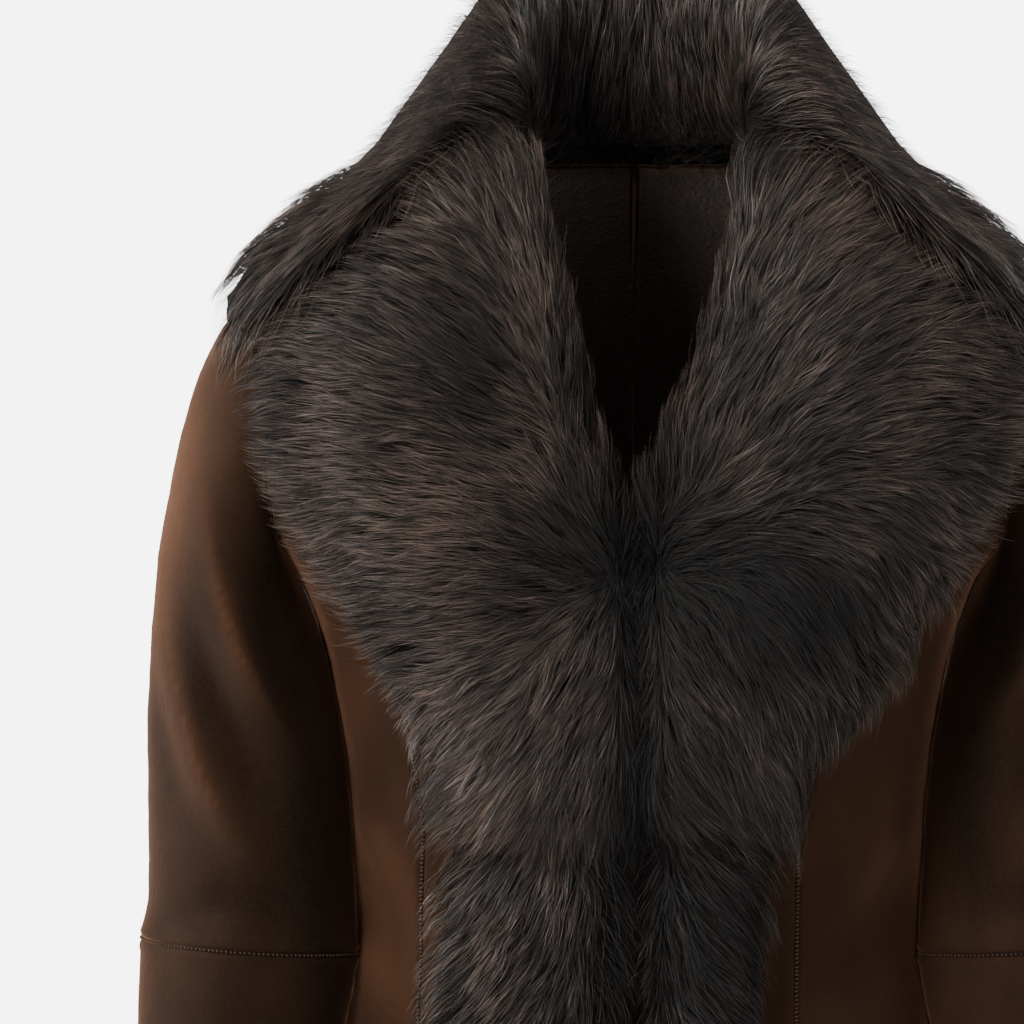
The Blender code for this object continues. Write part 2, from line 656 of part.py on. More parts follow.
def make_revers(side, tree, mat):
    """The wide fur-faced revers, fanned from the roll of the neck opening."""
    table = REVERS_LEFT if side == "left" else REVERS_RIGHT
    sign = 1 if side == "left" else -1
    places = []
    for i in range(REVERS_GRID[0] + 1):
        row = read(table, REVERS_COLUMNS, i / REVERS_GRID[0])
        line = []
        for j in range(REVERS_GRID[1] + 1):
            t = j / REVERS_GRID[1]
            x = row["in_x"] + (row["out_x"] - row["in_x"]) * t
            z = row["in_z"] + (row["out_z"] - row["in_z"]) * t
            line.append((sign * x, z))
        places.append(line)
    base = laid_base(places, tree)
    rings = fur_rings(base, lambda s: 0.62 + 0.38 * ease((1 - s) / 0.15), TOP_SPILL, (0.0,))
    return loft("revers_" + side, rings, mat)


def make_band(side, tree, mat):
    """The straight fur band on the front edge, from revers to hem."""
    sign = 1 if side == "left" else -1
    low = BANDS[0][0]
    high = BANDS[-1][0]
    places = []
    for i in range(BAND_GRID[0] + 1):
        z = low + (high - low) * i / BAND_GRID[0]
        row = read(BANDS, BAND_COLUMNS, z)
        line = []
        for j in range(BAND_GRID[1] + 1):
            x = row["in_" + side] + (row["out_" + side] - row["in_" + side]) * j / BAND_GRID[1]
            line.append((sign * x, z))
        places.append(line)
    rings = fur_rings(laid_base(places, tree), lambda s: 0.70 + 0.30 * ease(s / 0.08), 0.0, (0.0, 1.0))
    return loft("band_" + side, rings, mat)


def collar_line(table, share):
    """A line of the collar's section at a share of the way from the back to a front end."""
    line = []
    for row in table:
        place = dict(zip(COLLAR_COLUMNS, row))
        if share < 0.68:
            k = ease(share / 0.68)
            r = place["back_r"] + (place["side_r"] - place["back_r"]) * k
            z = place["back_z"] + (place["side_z"] - place["back_z"]) * k
        else:
            k = ease((share - 0.68) / 0.32)
            r = place["side_r"] + (place["front_r"] - place["side_r"]) * k
            z = place["side_z"] + (place["front_z"] - place["side_z"]) * k
        line.append(Vector((r, z)))
    return line


def collar_place(share, flat):
    """From a radius and height to the coat, turned round the neck by a share of its reach."""
    turn = math.radians(share * read(REACH, REACH_COLUMNS, flat.x)["degrees"])
    return Vector((flat.x * math.sin(turn), flat.x * math.cos(turn), flat.y))


def collar_room(share, line, j, tree):
    """Depth free below a place on the leaf, and the way down."""
    low = line[j - 1]
    high = line[j + 1] if j + 1 < len(line) else line[j] + (line[j] - low) * 0.6
    along = high - low
    inward = Vector((along.y, -along.x)).normalized()
    here = collar_place(share, line[j])
    way = (collar_place(share, line[j] + inward * 0.01) - here).normalized()
    room = LEAF_MAX + LEAF_LAY
    for turn in (-0.6, -0.3, 0.0, 0.3, 0.6):
        for step in (-0.5, 0.0, 0.5):
            flat = line[j].lerp(high if step > 0 else low, abs(step))
            start = collar_place(share + turn * 2 / COLLAR_TURN, flat) - way * 0.03
            hit = tree.ray_cast(start, way, 0.03 + room)
            if hit[0]:
                room = min(room, hit[3] - 0.03)
    return room - LEAF_LAY, way


def make_collar(tree, mat):
    """Stand, roll and leaf in one: the fur inside the neck turns over and falls outside."""
    rings = []
    for i in range(COLLAR_TURN + 1):
        share = 2 * i / COLLAR_TURN - 1
        line = collar_line(COLLAR, abs(share))
        outside = [collar_place(share, p) for p in line]
        under = []
        for j in range(6, len(line)):
            room, way = collar_room(share, line, j, tree)
            if room < LEAF_MIN:
                outside[j] = outside[j] - way * (LEAF_MIN - room)
                room = LEAF_MIN
            deepest = 0.014 if j == len(line) - 1 else LEAF_MAX
            under.append(outside[j] + way * min(room, deepest))
        hollow = [collar_place(share, p) for p in collar_line(HOLLOW, abs(share))]
        rings.append(outside + under[::-1] + hollow)
    return loft("collar", rings, mat)


def main():
    """Build every piece of the coat."""
    for obj in list(bpy.data.objects):
        bpy.data.objects.remove(obj, do_unlink=True)
    suede = material("suede", (0.060, 0.028, 0.015), 0.85)
    fur = material("fur", (0.018, 0.012, 0.010), 0.60)
    panels = []
    sleeves = []
    for side in ("right", "left"):
        panels.append(make_back(side, suede))
        panels.append(make_front_centre(side, suede))
        panels.append(make_front_side(side, suede))
        sleeves += make_sleeve(side, suede)
    ground = front_tree(sleeves)
    laid = []
    for side in ("right", "left"):
        laid.append(make_revers(side, ground, fur))
        laid.append(make_band(side, ground, fur))
    make_collar(tree_of(panels + sleeves + laid), fur)


main()
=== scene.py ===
# %% [markdown]
# # A shearling coat
# A shearling is a hide worn with its suede face out and its wool in.  This coat also shows
# long hair: on the collar, on the wide revers and on a band down each front edge.  The lesson
# makes the suede as thin shells, the sewing as tubes and small stitches, and the fur as many
# thousand flat strands that grow from a dark core.  Metres, +Z up, the front faces -Y, and
# "left" and "right" are the wearer's.

import math

import bmesh
import bpy
import numpy as np
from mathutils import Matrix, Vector
from mathutils.bvhtree import BVHTree
from mathutils.kdtree import KDTree


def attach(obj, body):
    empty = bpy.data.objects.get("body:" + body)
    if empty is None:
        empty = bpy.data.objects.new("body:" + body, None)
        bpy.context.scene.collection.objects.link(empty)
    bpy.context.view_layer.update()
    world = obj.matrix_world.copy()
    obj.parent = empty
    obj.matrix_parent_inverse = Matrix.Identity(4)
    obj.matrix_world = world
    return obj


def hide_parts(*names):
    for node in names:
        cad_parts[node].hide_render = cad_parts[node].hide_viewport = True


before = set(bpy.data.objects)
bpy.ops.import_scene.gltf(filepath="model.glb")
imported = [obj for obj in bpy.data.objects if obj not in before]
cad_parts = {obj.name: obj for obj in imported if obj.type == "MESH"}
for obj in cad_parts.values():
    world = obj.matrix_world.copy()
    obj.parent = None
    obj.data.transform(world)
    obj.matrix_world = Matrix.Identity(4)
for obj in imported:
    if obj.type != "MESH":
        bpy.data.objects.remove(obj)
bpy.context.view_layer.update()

# %% [markdown]
# ## The cut, in numbers
# A coat is drafted from a few girths at set heights.  It could be sculpted by eye, but numbers
# can be checked and changed one by one, as on a paper pattern.  Each row of a table is such a
# height.  A curve that never overshoots its rows runs between them, so a waist stays where it
# was put.

# %% Main sizes
HIDE = 0.0034  # the shell's thickness: hide with shorn wool inside
SEAM = 0.0003  # space left at every seam
ARMPIT_Z = -0.218
SHOULDER_Z = -0.073
HEM_Z = -0.850
NECK_Z = 0.0
V_Z = -0.166
LAP_DROP = 0.0070  # how far the left front lies deeper where it runs under the right one
JOIN_Z = -0.1352  # where the front seam runs into the armhole
ELBOW = 0.54  # share of the sleeve above its cross seam
SIDES = (("right", -1), ("left", 1))  # with the sign of x on each side
print("from hem to neck:", NECK_Z - HEM_Z, "m")

# %% Body tables
BODY_COLUMNS = ("z", "half_width", "front", "back", "power")
BODY = (
    (-0.850, 0.222, 0.160, 0.172, 2.3),
    (-0.660, 0.191, 0.138, 0.150, 2.3),
    (-0.560, 0.170, 0.124, 0.137, 2.3),
    (-0.460, 0.1535, 0.109, 0.117, 2.3),
    (-0.400, 0.1468, 0.103, 0.106, 2.3),
    (-0.348, 0.1488, 0.108, 0.104, 2.4),
    (-0.260, 0.1600, 0.126, 0.115, 2.6),
    (-0.218, 0.174, 0.134, 0.124, 2.8),
    (-0.190, 0.194, 0.136, 0.129, 2.9),
    (-0.150, 0.204, 0.133, 0.131, 3.0),
    (-0.110, 0.205, 0.124, 0.128, 3.0),
    (-0.073, 0.197, 0.110, 0.118, 2.9),
    (-0.045, 0.155, 0.093, 0.102, 2.6),
    (-0.020, 0.108, 0.074, 0.086, 2.3),
    (0.000, 0.076, 0.058, 0.072, 2.1),
)
ARMHOLE_COLUMNS = ("z", "degrees")
ARMHOLE = (
    (-0.218, 0.0),
    (-0.210, 9.0),
    (-0.195, 17.0),
    (-0.170, 24.0),
    (-0.140, 27.0),
    (-0.110, 25.0),
    (-0.090, 18.0),
    (-0.079, 9.5),
    (-0.073, 0.0),
)
SEAM_COLUMNS = ("z", "princess_right", "princess_left", "edge_right", "edge_left")
FRONT_SEAMS = (
    (-0.850, 0.150, 0.112, 0.0040, -0.0340),
    (-0.660, 0.132, 0.096, 0.0040, -0.0340),
    (-0.449, 0.113, 0.079, 0.0040, -0.0330),
    (-0.350, 0.110, 0.080, 0.0015, -0.0300),
    (-0.300, 0.116, 0.092, 0.0010, -0.0280),
    (-0.240, 0.136, 0.120, 0.0010, -0.0240),
    (-0.190, 0.166, 0.160, 0.0060, -0.0150),
    (-0.166, 0.178, 0.177, 0.0180, 0.0080),
    (-0.133, 0.188, 0.188, 0.0310, 0.0250),
    (-0.110, 0.188, 0.188, 0.0390, 0.0350),
    (-0.060, 0.188, 0.188, 0.0520, 0.0500),
    (0.000, 0.188, 0.188, 0.0580, 0.0580),
)
print("rows:", len(BODY), "body,", len(ARMHOLE), "armhole,", len(FRONT_SEAMS), "front seams")

# %% Sleeve table
SLEEVE_COLUMNS = ("along", "out_x", "out_z", "in_x", "in_z", "mid_y", "half_y")
SLEEVE = (
    (0.00, 0.2000, -0.0730, 0.1750, -0.2180, 0.000, 0.074),
    (0.07, 0.2190, -0.0830, 0.1735, -0.2230, -0.003, 0.075),
    (0.17, 0.2380, -0.1500, 0.1665, -0.2350, -0.008, 0.074),
    (0.28, 0.2500, -0.2250, 0.1545, -0.2620, -0.010, 0.071),
    (0.40, 0.2540, -0.3070, 0.1438, -0.3160, -0.010, 0.067),
    (0.50, 0.2535, -0.3800, 0.1415, -0.3860, -0.010, 0.064),
    (0.54, 0.2575, -0.4030, 0.1398, -0.4100, -0.010, 0.065),
    (0.60, 0.2590, -0.4490, 0.1500, -0.4520, -0.013, 0.063),
    (0.72, 0.2700, -0.5300, 0.1710, -0.5350, -0.018, 0.058),
    (0.88, 0.2900, -0.6200, 0.2000, -0.6260, -0.027, 0.053),
    (1.00, 0.3000, -0.6700, 0.2130, -0.6770, -0.033, 0.051),
)
print("sleeve rings:", len(SLEEVE))

# %% [markdown]
# ## Creases and nap
# A worn sleeve breaks into the same creases at every bend of the arm.  Cloth simulation would
# lay them by chance, so each one is drawn instead: three points of the front view steer its
# crest, with x as on the left side, and it has a height and a width.  The spots are painted
# light and shade: the suede's colour made lighter where light falls and darker in shade.

# %% Crease tables and spots of painted light and shade
FOLD_COLUMNS = ("x0", "z0", "x1", "z1", "x2", "z2", "height", "width", "face", "side")
SLEEVE_FOLDS = (
    (0.222, -0.164, 0.2155, -0.2535, 0.167, -0.309, 0.0100, 0.0080, "front", "right"),
    (0.2465, -0.205, 0.238, -0.3175, 0.194, -0.360, 0.0095, 0.0080, "front", "right"),
    (0.196, -0.196, 0.181, -0.250, 0.163, -0.318, -0.0060, 0.0100, "front", "right"),
    (0.233, -0.222, 0.217, -0.285, 0.186, -0.335, -0.0060, 0.0080, "front", "right"),
    (0.253, -0.248, 0.246, -0.300, 0.228, -0.345, -0.0050, 0.0070, "front", "right"),
    (0.236, -0.392, 0.205, -0.372, 0.165, -0.384, -0.0045, 0.0090, "front", "right"),
    (0.225, -0.168, 0.214, -0.250, 0.170, -0.300, 0.0095, 0.0085, "front", "left"),
    (0.249, -0.222, 0.236, -0.310, 0.198, -0.352, 0.0085, 0.0080, "front", "left"),
    (0.199, -0.200, 0.184, -0.255, 0.165, -0.310, -0.0055, 0.0100, "front", "left"),
    (0.234, -0.230, 0.214, -0.290, 0.188, -0.330, -0.0055, 0.0080, "front", "left"),
    (0.236, -0.388, 0.205, -0.370, 0.165, -0.382, -0.0045, 0.0090, "front", "left"),
    (0.225, -0.180, 0.212, -0.245, 0.180, -0.305, 0.0060, 0.0120, "back", "right"),
    (0.246, -0.330, 0.215, -0.360, 0.172, -0.375, -0.0045, 0.0110, "back", "right"),
    (0.228, -0.175, 0.210, -0.250, 0.178, -0.300, 0.0060, 0.0120, "back", "left"),
    (0.246, -0.325, 0.217, -0.352, 0.174, -0.370, -0.0045, 0.0110, "back", "left"),
    (0.262, -0.500, 0.235, -0.520, 0.205, -0.520, 0.0040, 0.0130, "front", "right"),
    (0.264, -0.505, 0.238, -0.522, 0.207, -0.518, 0.0040, 0.0130, "front", "left"),
)
BODY_FOLDS = (
    (0.146, -0.334, 0.131, -0.3500, 0.1165, -0.387, 0.0060, 0.0080, "front", "right"),
    (0.150, -0.386, 0.135, -0.392, 0.118, -0.410, -0.0035, 0.0085, "front", "right"),
    (0.148, -0.406, 0.136, -0.414, 0.120, -0.428, 0.0045, 0.0090, "front", "right"),
    (0.160, -0.250, 0.150, -0.285, 0.132, -0.330, 0.0035, 0.012, "front", "right"),
    (0.144, -0.338, 0.129, -0.354, 0.110, -0.386, 0.0050, 0.0085, "front", "left"),
    (0.132, -0.390, 0.118, -0.405, 0.098, -0.420, -0.0035, 0.011, "front", "left"),
    (0.190, -0.680, 0.180, -0.760, 0.184, -0.850, 0.0060, 0.020, "front", "right"),
    (0.186, -0.670, 0.178, -0.750, 0.182, -0.850, 0.0060, 0.020, "front", "left"),
    (0.120, -0.352, 0.080, -0.366, 0.030, -0.362, 0.0045, 0.013, "back", "right"),
    (0.116, -0.360, 0.070, -0.376, 0.020, -0.372, 0.0040, 0.013, "back", "left"),
    (0.110, -0.410, 0.070, -0.424, 0.020, -0.418, -0.0040, 0.013, "back", "right"),
    (0.118, -0.404, 0.076, -0.418, 0.030, -0.414, -0.0040, 0.013, "back", "left"),
    (0.100, -0.620, 0.098, -0.730, 0.108, -0.850, 0.0080, 0.024, "back", "right"),
    (0.104, -0.610, 0.102, -0.720, 0.112, -0.850, 0.0080, 0.024, "back", "left"),
)
SPOT_COLUMNS = ("x", "z", "wide", "tall", "change")
# painted light and shade on the suede: each spot lightens it where light falls or darkens it where shade
# lies
PAINTED_SUEDE_LIGHT_SPOTS = (
    (-0.232, -0.130, 0.020, 0.060, 0.30), (-0.246, -0.190, 0.014, 0.060, 0.30),
    (-0.183, -0.235, 0.015, 0.045, -0.55), (-0.167, -0.330, 0.014, 0.055, -0.50),
    (-0.158, -0.400, 0.012, 0.050, -0.35),
    (-0.205, -0.480, 0.040, 0.060, -0.12), (-0.200, -0.365, 0.045, 0.040, -0.12),
    (-0.226, -0.250, 0.014, 0.055, -0.26), (-0.250, -0.300, 0.010, 0.045, -0.26),
    (-0.130, -0.405, 0.028, 0.060, 0.46), (-0.148, -0.280, 0.018, 0.060, 0.30),
    (0.232, -0.130, 0.020, 0.060, 0.25),
    (0.185, -0.240, 0.015, 0.045, -0.50), (0.169, -0.330, 0.014, 0.055, -0.45),
    (0.120, -0.330, 0.040, 0.060, 0.20), (0.120, -0.440, 0.035, 0.060, 0.08),
)
print("creases:", len(SLEEVE_FOLDS) + len(BODY_FOLDS), "spots:", len(PAINTED_SUEDE_LIGHT_SPOTS))

# %% [markdown]
# ## Reading between rows
# Blender has curves of its own, but numpy works on whole arrays, so one call reads a table for
# thousands of places.  The slope at each row is the harmonic mean of its neighbours, and level
# at a turn, so nothing overshoots.


# %% Table reader
def ease(t):
    """0 to 1 with soft ends."""
    t = np.clip(t, 0, 1)
    return t * t * (3 - 2 * t)


def read(table, columns, key):
    """Every column of a table at an array of keys, as a dictionary of arrays."""
    keys = np.array([row[0] for row in table])
    step = np.diff(keys)
    key = np.clip(key, keys[0], keys[-1])
    i = np.clip(np.searchsorted(keys, key) - 1, 0, len(step) - 1)
    t = (key - keys[i]) / step[i]
    out = {}
    for column, name in enumerate(columns[1:], 1):
        value = np.array([row[column] for row in table])
        grade = np.diff(value) / step
        both = grade[:-1] * grade[1:]
        middle = np.where(both > 0, 2 * both / np.where(both > 0, grade[:-1] + grade[1:], 1), 0)
        slope = np.concatenate((grade[:1], middle, grade[-1:]))
        rise = (2 * t**3 - 3 * t**2 + 1) * value[i] + (3 * t**2 - 2 * t**3) * value[i + 1]
        lean = (t**3 - 2 * t**2 + t) * slope[i] + (t**3 - t**2) * slope[i + 1]
        out[name] = rise + lean * step[i]
    return out


print("half width at the waist:", round(float(read(BODY, BODY_COLUMNS, -0.4)["half_width"]), 4))

# %% Height of the creases
END_HEIGHT = 0.35  # a crease's height at its ends, as a share of its middle
RIDGE_POWER = 1.3  # a low power gives a pointed ridge
TROUGH_POWER = 2.0  # and a higher one a round trough


def fold_height(folds, x, z, front, side):
    """Height of all folds of one side at places in the front view."""
    total = np.zeros_like(x)
    t = np.linspace(0, 1, 25)
    for row in folds:
        fold = dict(zip(FOLD_COLUMNS, row))
        if fold["side"] != side:
            continue
        line_x = (1 - t) ** 2 * fold["x0"] + 2 * t * (1 - t) * fold["x1"] + t**2 * fold["x2"]
        line_z = (1 - t) ** 2 * fold["z0"] + 2 * t * (1 - t) * fold["z1"] + t**2 * fold["z2"]
        far = np.hypot(x[..., None] - line_x, z[..., None] - line_z)
        along = t[far.argmin(axis=-1)]
        fade = END_HEIGHT + (1 - END_HEIGHT) * np.sin(math.pi * along)
        power = RIDGE_POWER if fold["height"] > 0 else TROUGH_POWER
        bump = fold["height"] * fade * np.exp(-0.7 * (far.min(axis=-1) / fold["width"]) ** power)
        total += np.where(front == (fold["face"] == "front"), bump, 0)
    return total


print("highest crease:", max(row[FOLD_COLUMNS.index("height")] for row in SLEEVE_FOLDS), "m")

# %% Tone of the nap, with painted light and shade
NAP_PLAIN = 0.42  # tone of smooth suede, where 0 is the darkest and 1 the lightest
PAINTED_RIDGE_LIGHT = 20  # painted highlight: gain of tone for a metre of ridge
PAINTED_TROUGH_SHADE = 34  # painted shade: loss of tone for a metre of trough
PAINTED_CREST_HIGHLIGHT = 0.44  # painted highlight that a ridge of HIGH_RIDGE gains besides
HIGH_RIDGE = 0.0095
BACK_PAINTED_SHARE = 0.35  # share of the creases' painted light and shade that the back shows
SPOT_END = 0.045  # no spot lies further back than this
SPOT_FADE = 0.07  # and over this depth it fades


def spot_sum(spots, points):
    """Sum of soft spots of painted light and shade at points; they fade out towards the back."""
    total = np.zeros(points.shape[:-1])
    for row in spots:
        spot = dict(zip(SPOT_COLUMNS, row))
        across = (points[..., 0] - spot["x"]) / spot["wide"]
        upright = (points[..., 2] - spot["z"]) / spot["tall"]
        seen = ease((SPOT_END - points[..., 1]) / SPOT_FADE)
        total += spot["change"] * np.exp(-across**2 - upright**2) * seen
    return total


def nap_and_painted_light_of(points, folds):
    """The nap's tone with painted light and shade: ridges painted lighter, troughs painted darker, and the
    painted spots.
    """
    # the spots add painted light and shade to the plain tone
    total = NAP_PLAIN + spot_sum(PAINTED_SUEDE_LIGHT_SPOTS, points)
    for side, sign in SIDES:
        x, y, z = points[..., 0] * sign, points[..., 1], points[..., 2]
        crest = fold_height(folds, x, z, y <= 0.0, side)
        crest = np.where(x > 0, crest, 0) * np.where(y > 0, BACK_PAINTED_SHARE, 1)
        # painted light on the creases' ridges and painted shade in their troughs
        total += crest * np.where(crest > 0, PAINTED_RIDGE_LIGHT, PAINTED_TROUGH_SHADE)
        # a painted highlight along the highest crests
        total += PAINTED_CREST_HIGHLIGHT * (np.maximum(crest, 0) / HIGH_RIDGE) ** 3
    return np.clip(total, 0, 1)


print("plain tone of the nap:", NAP_PLAIN)

# %% [markdown]
# ## The body as a surface
# Seen from above, a worn coat is a soft rectangle, a superellipse.  A mesh could be moulded to
# that, but a formula gives any point, so that panels, seams and creases share one surface.  An
# angle and a height give a point on it: 0 degrees is the left side, 90 the back, 270 the front.


# %% Body surface
def body(degrees, z, drop=0.0):
    """Outer face of the body at arrays of angles and heights."""
    row = read(BODY, BODY_COLUMNS, z)
    c = np.cos(np.radians(degrees))
    s = np.sin(np.radians(degrees))
    depth = np.where(s > 0, row["back"], row["front"])
    power = 2 / row["power"]
    x = np.sign(c) * np.abs(c) ** power
    y = np.sign(s) * np.abs(s) ** power
    flat_x = row["half_width"] * x
    z = np.broadcast_to(z, flat_x.shape)
    left = fold_height(BODY_FOLDS, np.abs(flat_x), z, s <= 0, "left")
    right = fold_height(BODY_FOLDS, np.abs(flat_x), z, s <= 0, "right")
    lift = np.where(c > 0, left, right) * ease(np.abs(y) * 1.6 - 0.1) - drop  # none at the sides
    way = np.stack((x / row["half_width"], y / depth, 0 * x), axis=-1)
    way /= np.linalg.norm(way, axis=-1, keepdims=True)
    return np.stack((flat_x, depth * y, z), axis=-1) + way * lift[..., None]


def turn_at(x, z):
    """Degrees from the side at which the body has this sideways distance."""
    row = read(BODY, BODY_COLUMNS, z)
    share = np.minimum(np.abs(x) / row["half_width"], 0.9999)
    return np.degrees(np.arccos(share ** (row["power"] / 2)))


def degrees_at(x, z):
    """The same on the front, as the body's own angle; a negative distance is on the right."""
    return np.where(x >= 0, 360 - turn_at(x, z), 180 + turn_at(x, z))


def edge_degrees(z):
    """Edge of a body piece at side, armhole or shoulder, in degrees from the side."""
    row = read(BODY, BODY_COLUMNS, z)
    hole = np.where((z > ARMPIT_Z) & (z < SHOULDER_Z), read(ARMHOLE, ARMHOLE_COLUMNS, z)["degrees"], 0)
    seam = (SEAM / 2 / row["front"]) ** (row["power"] / 2)
    return np.maximum(hole, np.degrees(np.arcsin(seam)))


def side_angle(side, z):
    """Angle of a front piece's edge at side, armhole or shoulder."""
    return 360 - edge_degrees(z) if side == "left" else 180 + edge_degrees(z)


def seam_angle(side, z, shift=0.0):
    """Angle of the front's long seam, which runs into the armhole at JOIN_Z."""
    sign = 1 if side == "left" else -1
    row = read(FRONT_SEAMS, SEAM_COLUMNS, z)
    free = degrees_at(sign * (row["princess_" + side] + shift), z)
    close = ease((z - JOIN_Z + 0.030) / 0.030)
    return free + (side_angle(side, z) - free) * close


print("body girth at the hem:", round(float(np.linalg.norm(np.diff(
    body(np.linspace(0, 360, 181), np.full(181, HEM_Z)), axis=0), axis=1).sum()), 3))

# %% [markdown]
# ## The sleeve as a surface
# A sleeve is a row of rings from the armhole to the cuff.  A straight tube pushed into the body
# would meet it in a hard step.  Here the first rings bend over from the armhole's own edge, so
# that sleeve and body share their seam.


# %% Sleeve surface
SET_IN = 0.16  # share of the sleeve over which it leaves the armhole's shape
SMOOTH_HEAD = 0.06  # share of the sleeve above its creases
CLEAR = 0.0017  # room between sleeve and body, besides the seam's
CLEAR_FROM = 0.08  # share of the sleeve after which it has all of that room


def armhole(turn):
    """The armhole's edge; 0 is the shoulder, 0.25 the front, 0.5 the armpit, 0.75 the back."""
    z = ARMPIT_Z + (SHOULDER_Z - ARMPIT_Z) * (0.5 + 0.5 * np.cos(2 * math.pi * turn))
    edge = edge_degrees(z)
    return body(np.where(np.sin(2 * math.pi * turn) > 0, 360 - edge, edge), z)


def body_side(y, z):
    """Sideways reach of the body at a depth and height."""
    row = read(BODY, BODY_COLUMNS, z)
    share = np.minimum(np.abs(y) / np.where(y > 0, row["back"], row["front"]), 1)
    return row["half_width"] * (1 - share ** row["power"]) ** (1 / row["power"])


def sleeve(along, turn, side):
    """Outer face of a sleeve; turn 0 is the outer side, 0.25 the front, 0.5 the inner side."""
    row = read(SLEEVE, SLEEVE_COLUMNS, along)
    c = np.cos(2 * math.pi * turn)
    s = np.sin(2 * math.pi * turn)
    x = (row["out_x"] + row["in_x"]) / 2 + c * (row["out_x"] - row["in_x"]) / 2
    z = (row["out_z"] + row["in_z"]) / 2 + c * (row["out_z"] - row["in_z"]) / 2
    here = np.stack((x, row["mid_y"] - s * row["half_y"], z), axis=-1)
    join = (1 - ease(along / SET_IN))[..., None]
    here = here + (armhole(turn) - here) * join
    lift = fold_height(SLEEVE_FOLDS, here[..., 0], here[..., 2], s > 0, side) * ease(np.abs(s) * 2)
    lift *= ease((along - SMOOTH_HEAD) / 0.1)
    here += np.stack((0.35 * c, -s, 0 * c), axis=-1) * lift[..., None]
    clear = SEAM + CLEAR * ease(along / CLEAR_FROM)
    here[..., 0] = np.maximum(here[..., 0], body_side(here[..., 1], here[..., 2]) + clear)
    if side == "right":
        here[..., 0] *= -1
    return here


print("cuff girth:", round(float(np.linalg.norm(np.diff(
    sleeve(np.ones(91), np.linspace(0, 1, 91), "right"), axis=0), axis=1).sum()), 3))

# %% [markdown]
# ## Colour by expression
# A material's pattern is a little sum on its sockets.  Its nodes could be placed one by one, but
# a sum is shorter and can be read.  This class wraps a socket, so that `0.5 + 0.2 * noise` adds
# the Math nodes by itself, and `node` makes any other node.


# %% Shader helper
class Sock:
    """A socket of a node tree that works in Python expressions."""

    def __init__(self, tree, out=None):
        self.tree = tree
        self.out = out

    def node(self, kind, settings=None, sockets=None, out=0):
        """Add a node: its settings first, then values or links of its sockets."""
        made = self.tree.nodes.new("ShaderNode" + kind)
        for key, value in (settings or {}).items():
            if key == "stops":
                ramp = made.color_ramp.elements
                for place, color in value:
                    near = min(ramp, key=lambda e: abs(e.position - place))
                    stop = near if abs(near.position - place) < 1e-4 else ramp.new(place)
                    stop.color = (*color, 1)
            else:
                setattr(made, key, value)
        for key, value in (sockets or {}).items():
            if isinstance(value, Sock):
                self.tree.links.new(value.out, made.inputs[key])
            else:
                made.inputs[key].default_value = value
        return Sock(self.tree, made.outputs[out])

    def maths(self, operation, a, b):
        return self.node("Math", {"operation": operation}, {0: a, 1: b})

    def __add__(self, other):
        return self.maths("ADD", self, other)

    def __radd__(self, other):
        return self.maths("ADD", other, self)

    def __sub__(self, other):
        return self.maths("SUBTRACT", self, other)

    def __rsub__(self, other):
        return self.maths("SUBTRACT", other, self)

    def __mul__(self, other):
        return self.maths("MULTIPLY", self, other)

    def __rmul__(self, other):
        return self.maths("MULTIPLY", other, self)

    def noise(self, scale, detail=3.0, stretch=(1, 1, 1)):
        """Noise on the piece's own coordinates, from 0 to 1."""
        place = self.node("TexCoord", out="Object")
        place = self.node("Mapping", {"vector_type": "POINT"}, {"Vector": place, "Scale": stretch})
        return self.node("TexNoise", None, {"Vector": place, "Scale": scale, "Detail": detail})

    def mix(self, factor, dark, light):
        """Mix of two colours."""
        made = {"data_type": "RGBA"}
        return self.node("Mix", made, {0: factor, 6: dark, 7: light}, out=2)


def new_material(name, constants):
    """A material whose Principled shader has these constants; gives a Sock and the shader."""
    mat = bpy.data.materials.new(name)
    mat.use_nodes = True
    shader = mat.node_tree.nodes["Principled BSDF"]
    for key, value in constants.items():
        shader.inputs[key].default_value = value
    return mat, Sock(mat.node_tree), shader


def plug(tool, shader, sockets):
    """Link expressions to the shader's sockets."""
    for key, value in sockets.items():
        tool.tree.links.new(value.out, shader.inputs[key])


def grained(name, specular, grain, dark, light, rough, smoother, strength, distance):
    """A material in two tones of one grain, which also makes it smoother and lifts its surface."""
    mat, tool, shader = new_material(name, {"Specular IOR Level": specular})
    grain = tool.noise(*grain)
    base = tool.mix(grain, (*dark, 1), (*light, 1))
    bump = tool.node("Bump", None, {"Strength": strength, "Distance": distance, "Height": grain})
    plug(tool, shader, {"Base Color": base, "Roughness": rough - smoother * grain, "Normal": bump})
    return mat


# %% [markdown]
# ## Suede and wool
# Suede is the napped inner side of a hide: matt, with short fibres that lie this way or that, so
# one colour shows in lighter and darker strokes.  Those fibres are too small to model, so the
# panels' tone, two noises and a fine bump stand for them; the tone also carries painted light
# and shade.  At a grazing angle the fibres catch light, which is what sheen does.  Inside the
# coat the wool is shorn to a dense short pile.

# %% Suede and wool materials
suede, tool, shader = new_material("suede", {
    "Sheen Weight": 0.34, "Sheen Roughness": 0.32, "Sheen Tint": (0.74, 0.36, 0.21, 1),
    "Specular IOR Level": 0.10})
strokes = tool.noise(8.0, 4.0, (1, 1, 0.55)) * 0.6 + tool.noise(30.0, 3.0, (1, 1, 0.7)) * 0.4
strokes = tool.node("MapRange", None, {"Value": strokes, "From Min": 0.36, "From Max": 0.66})
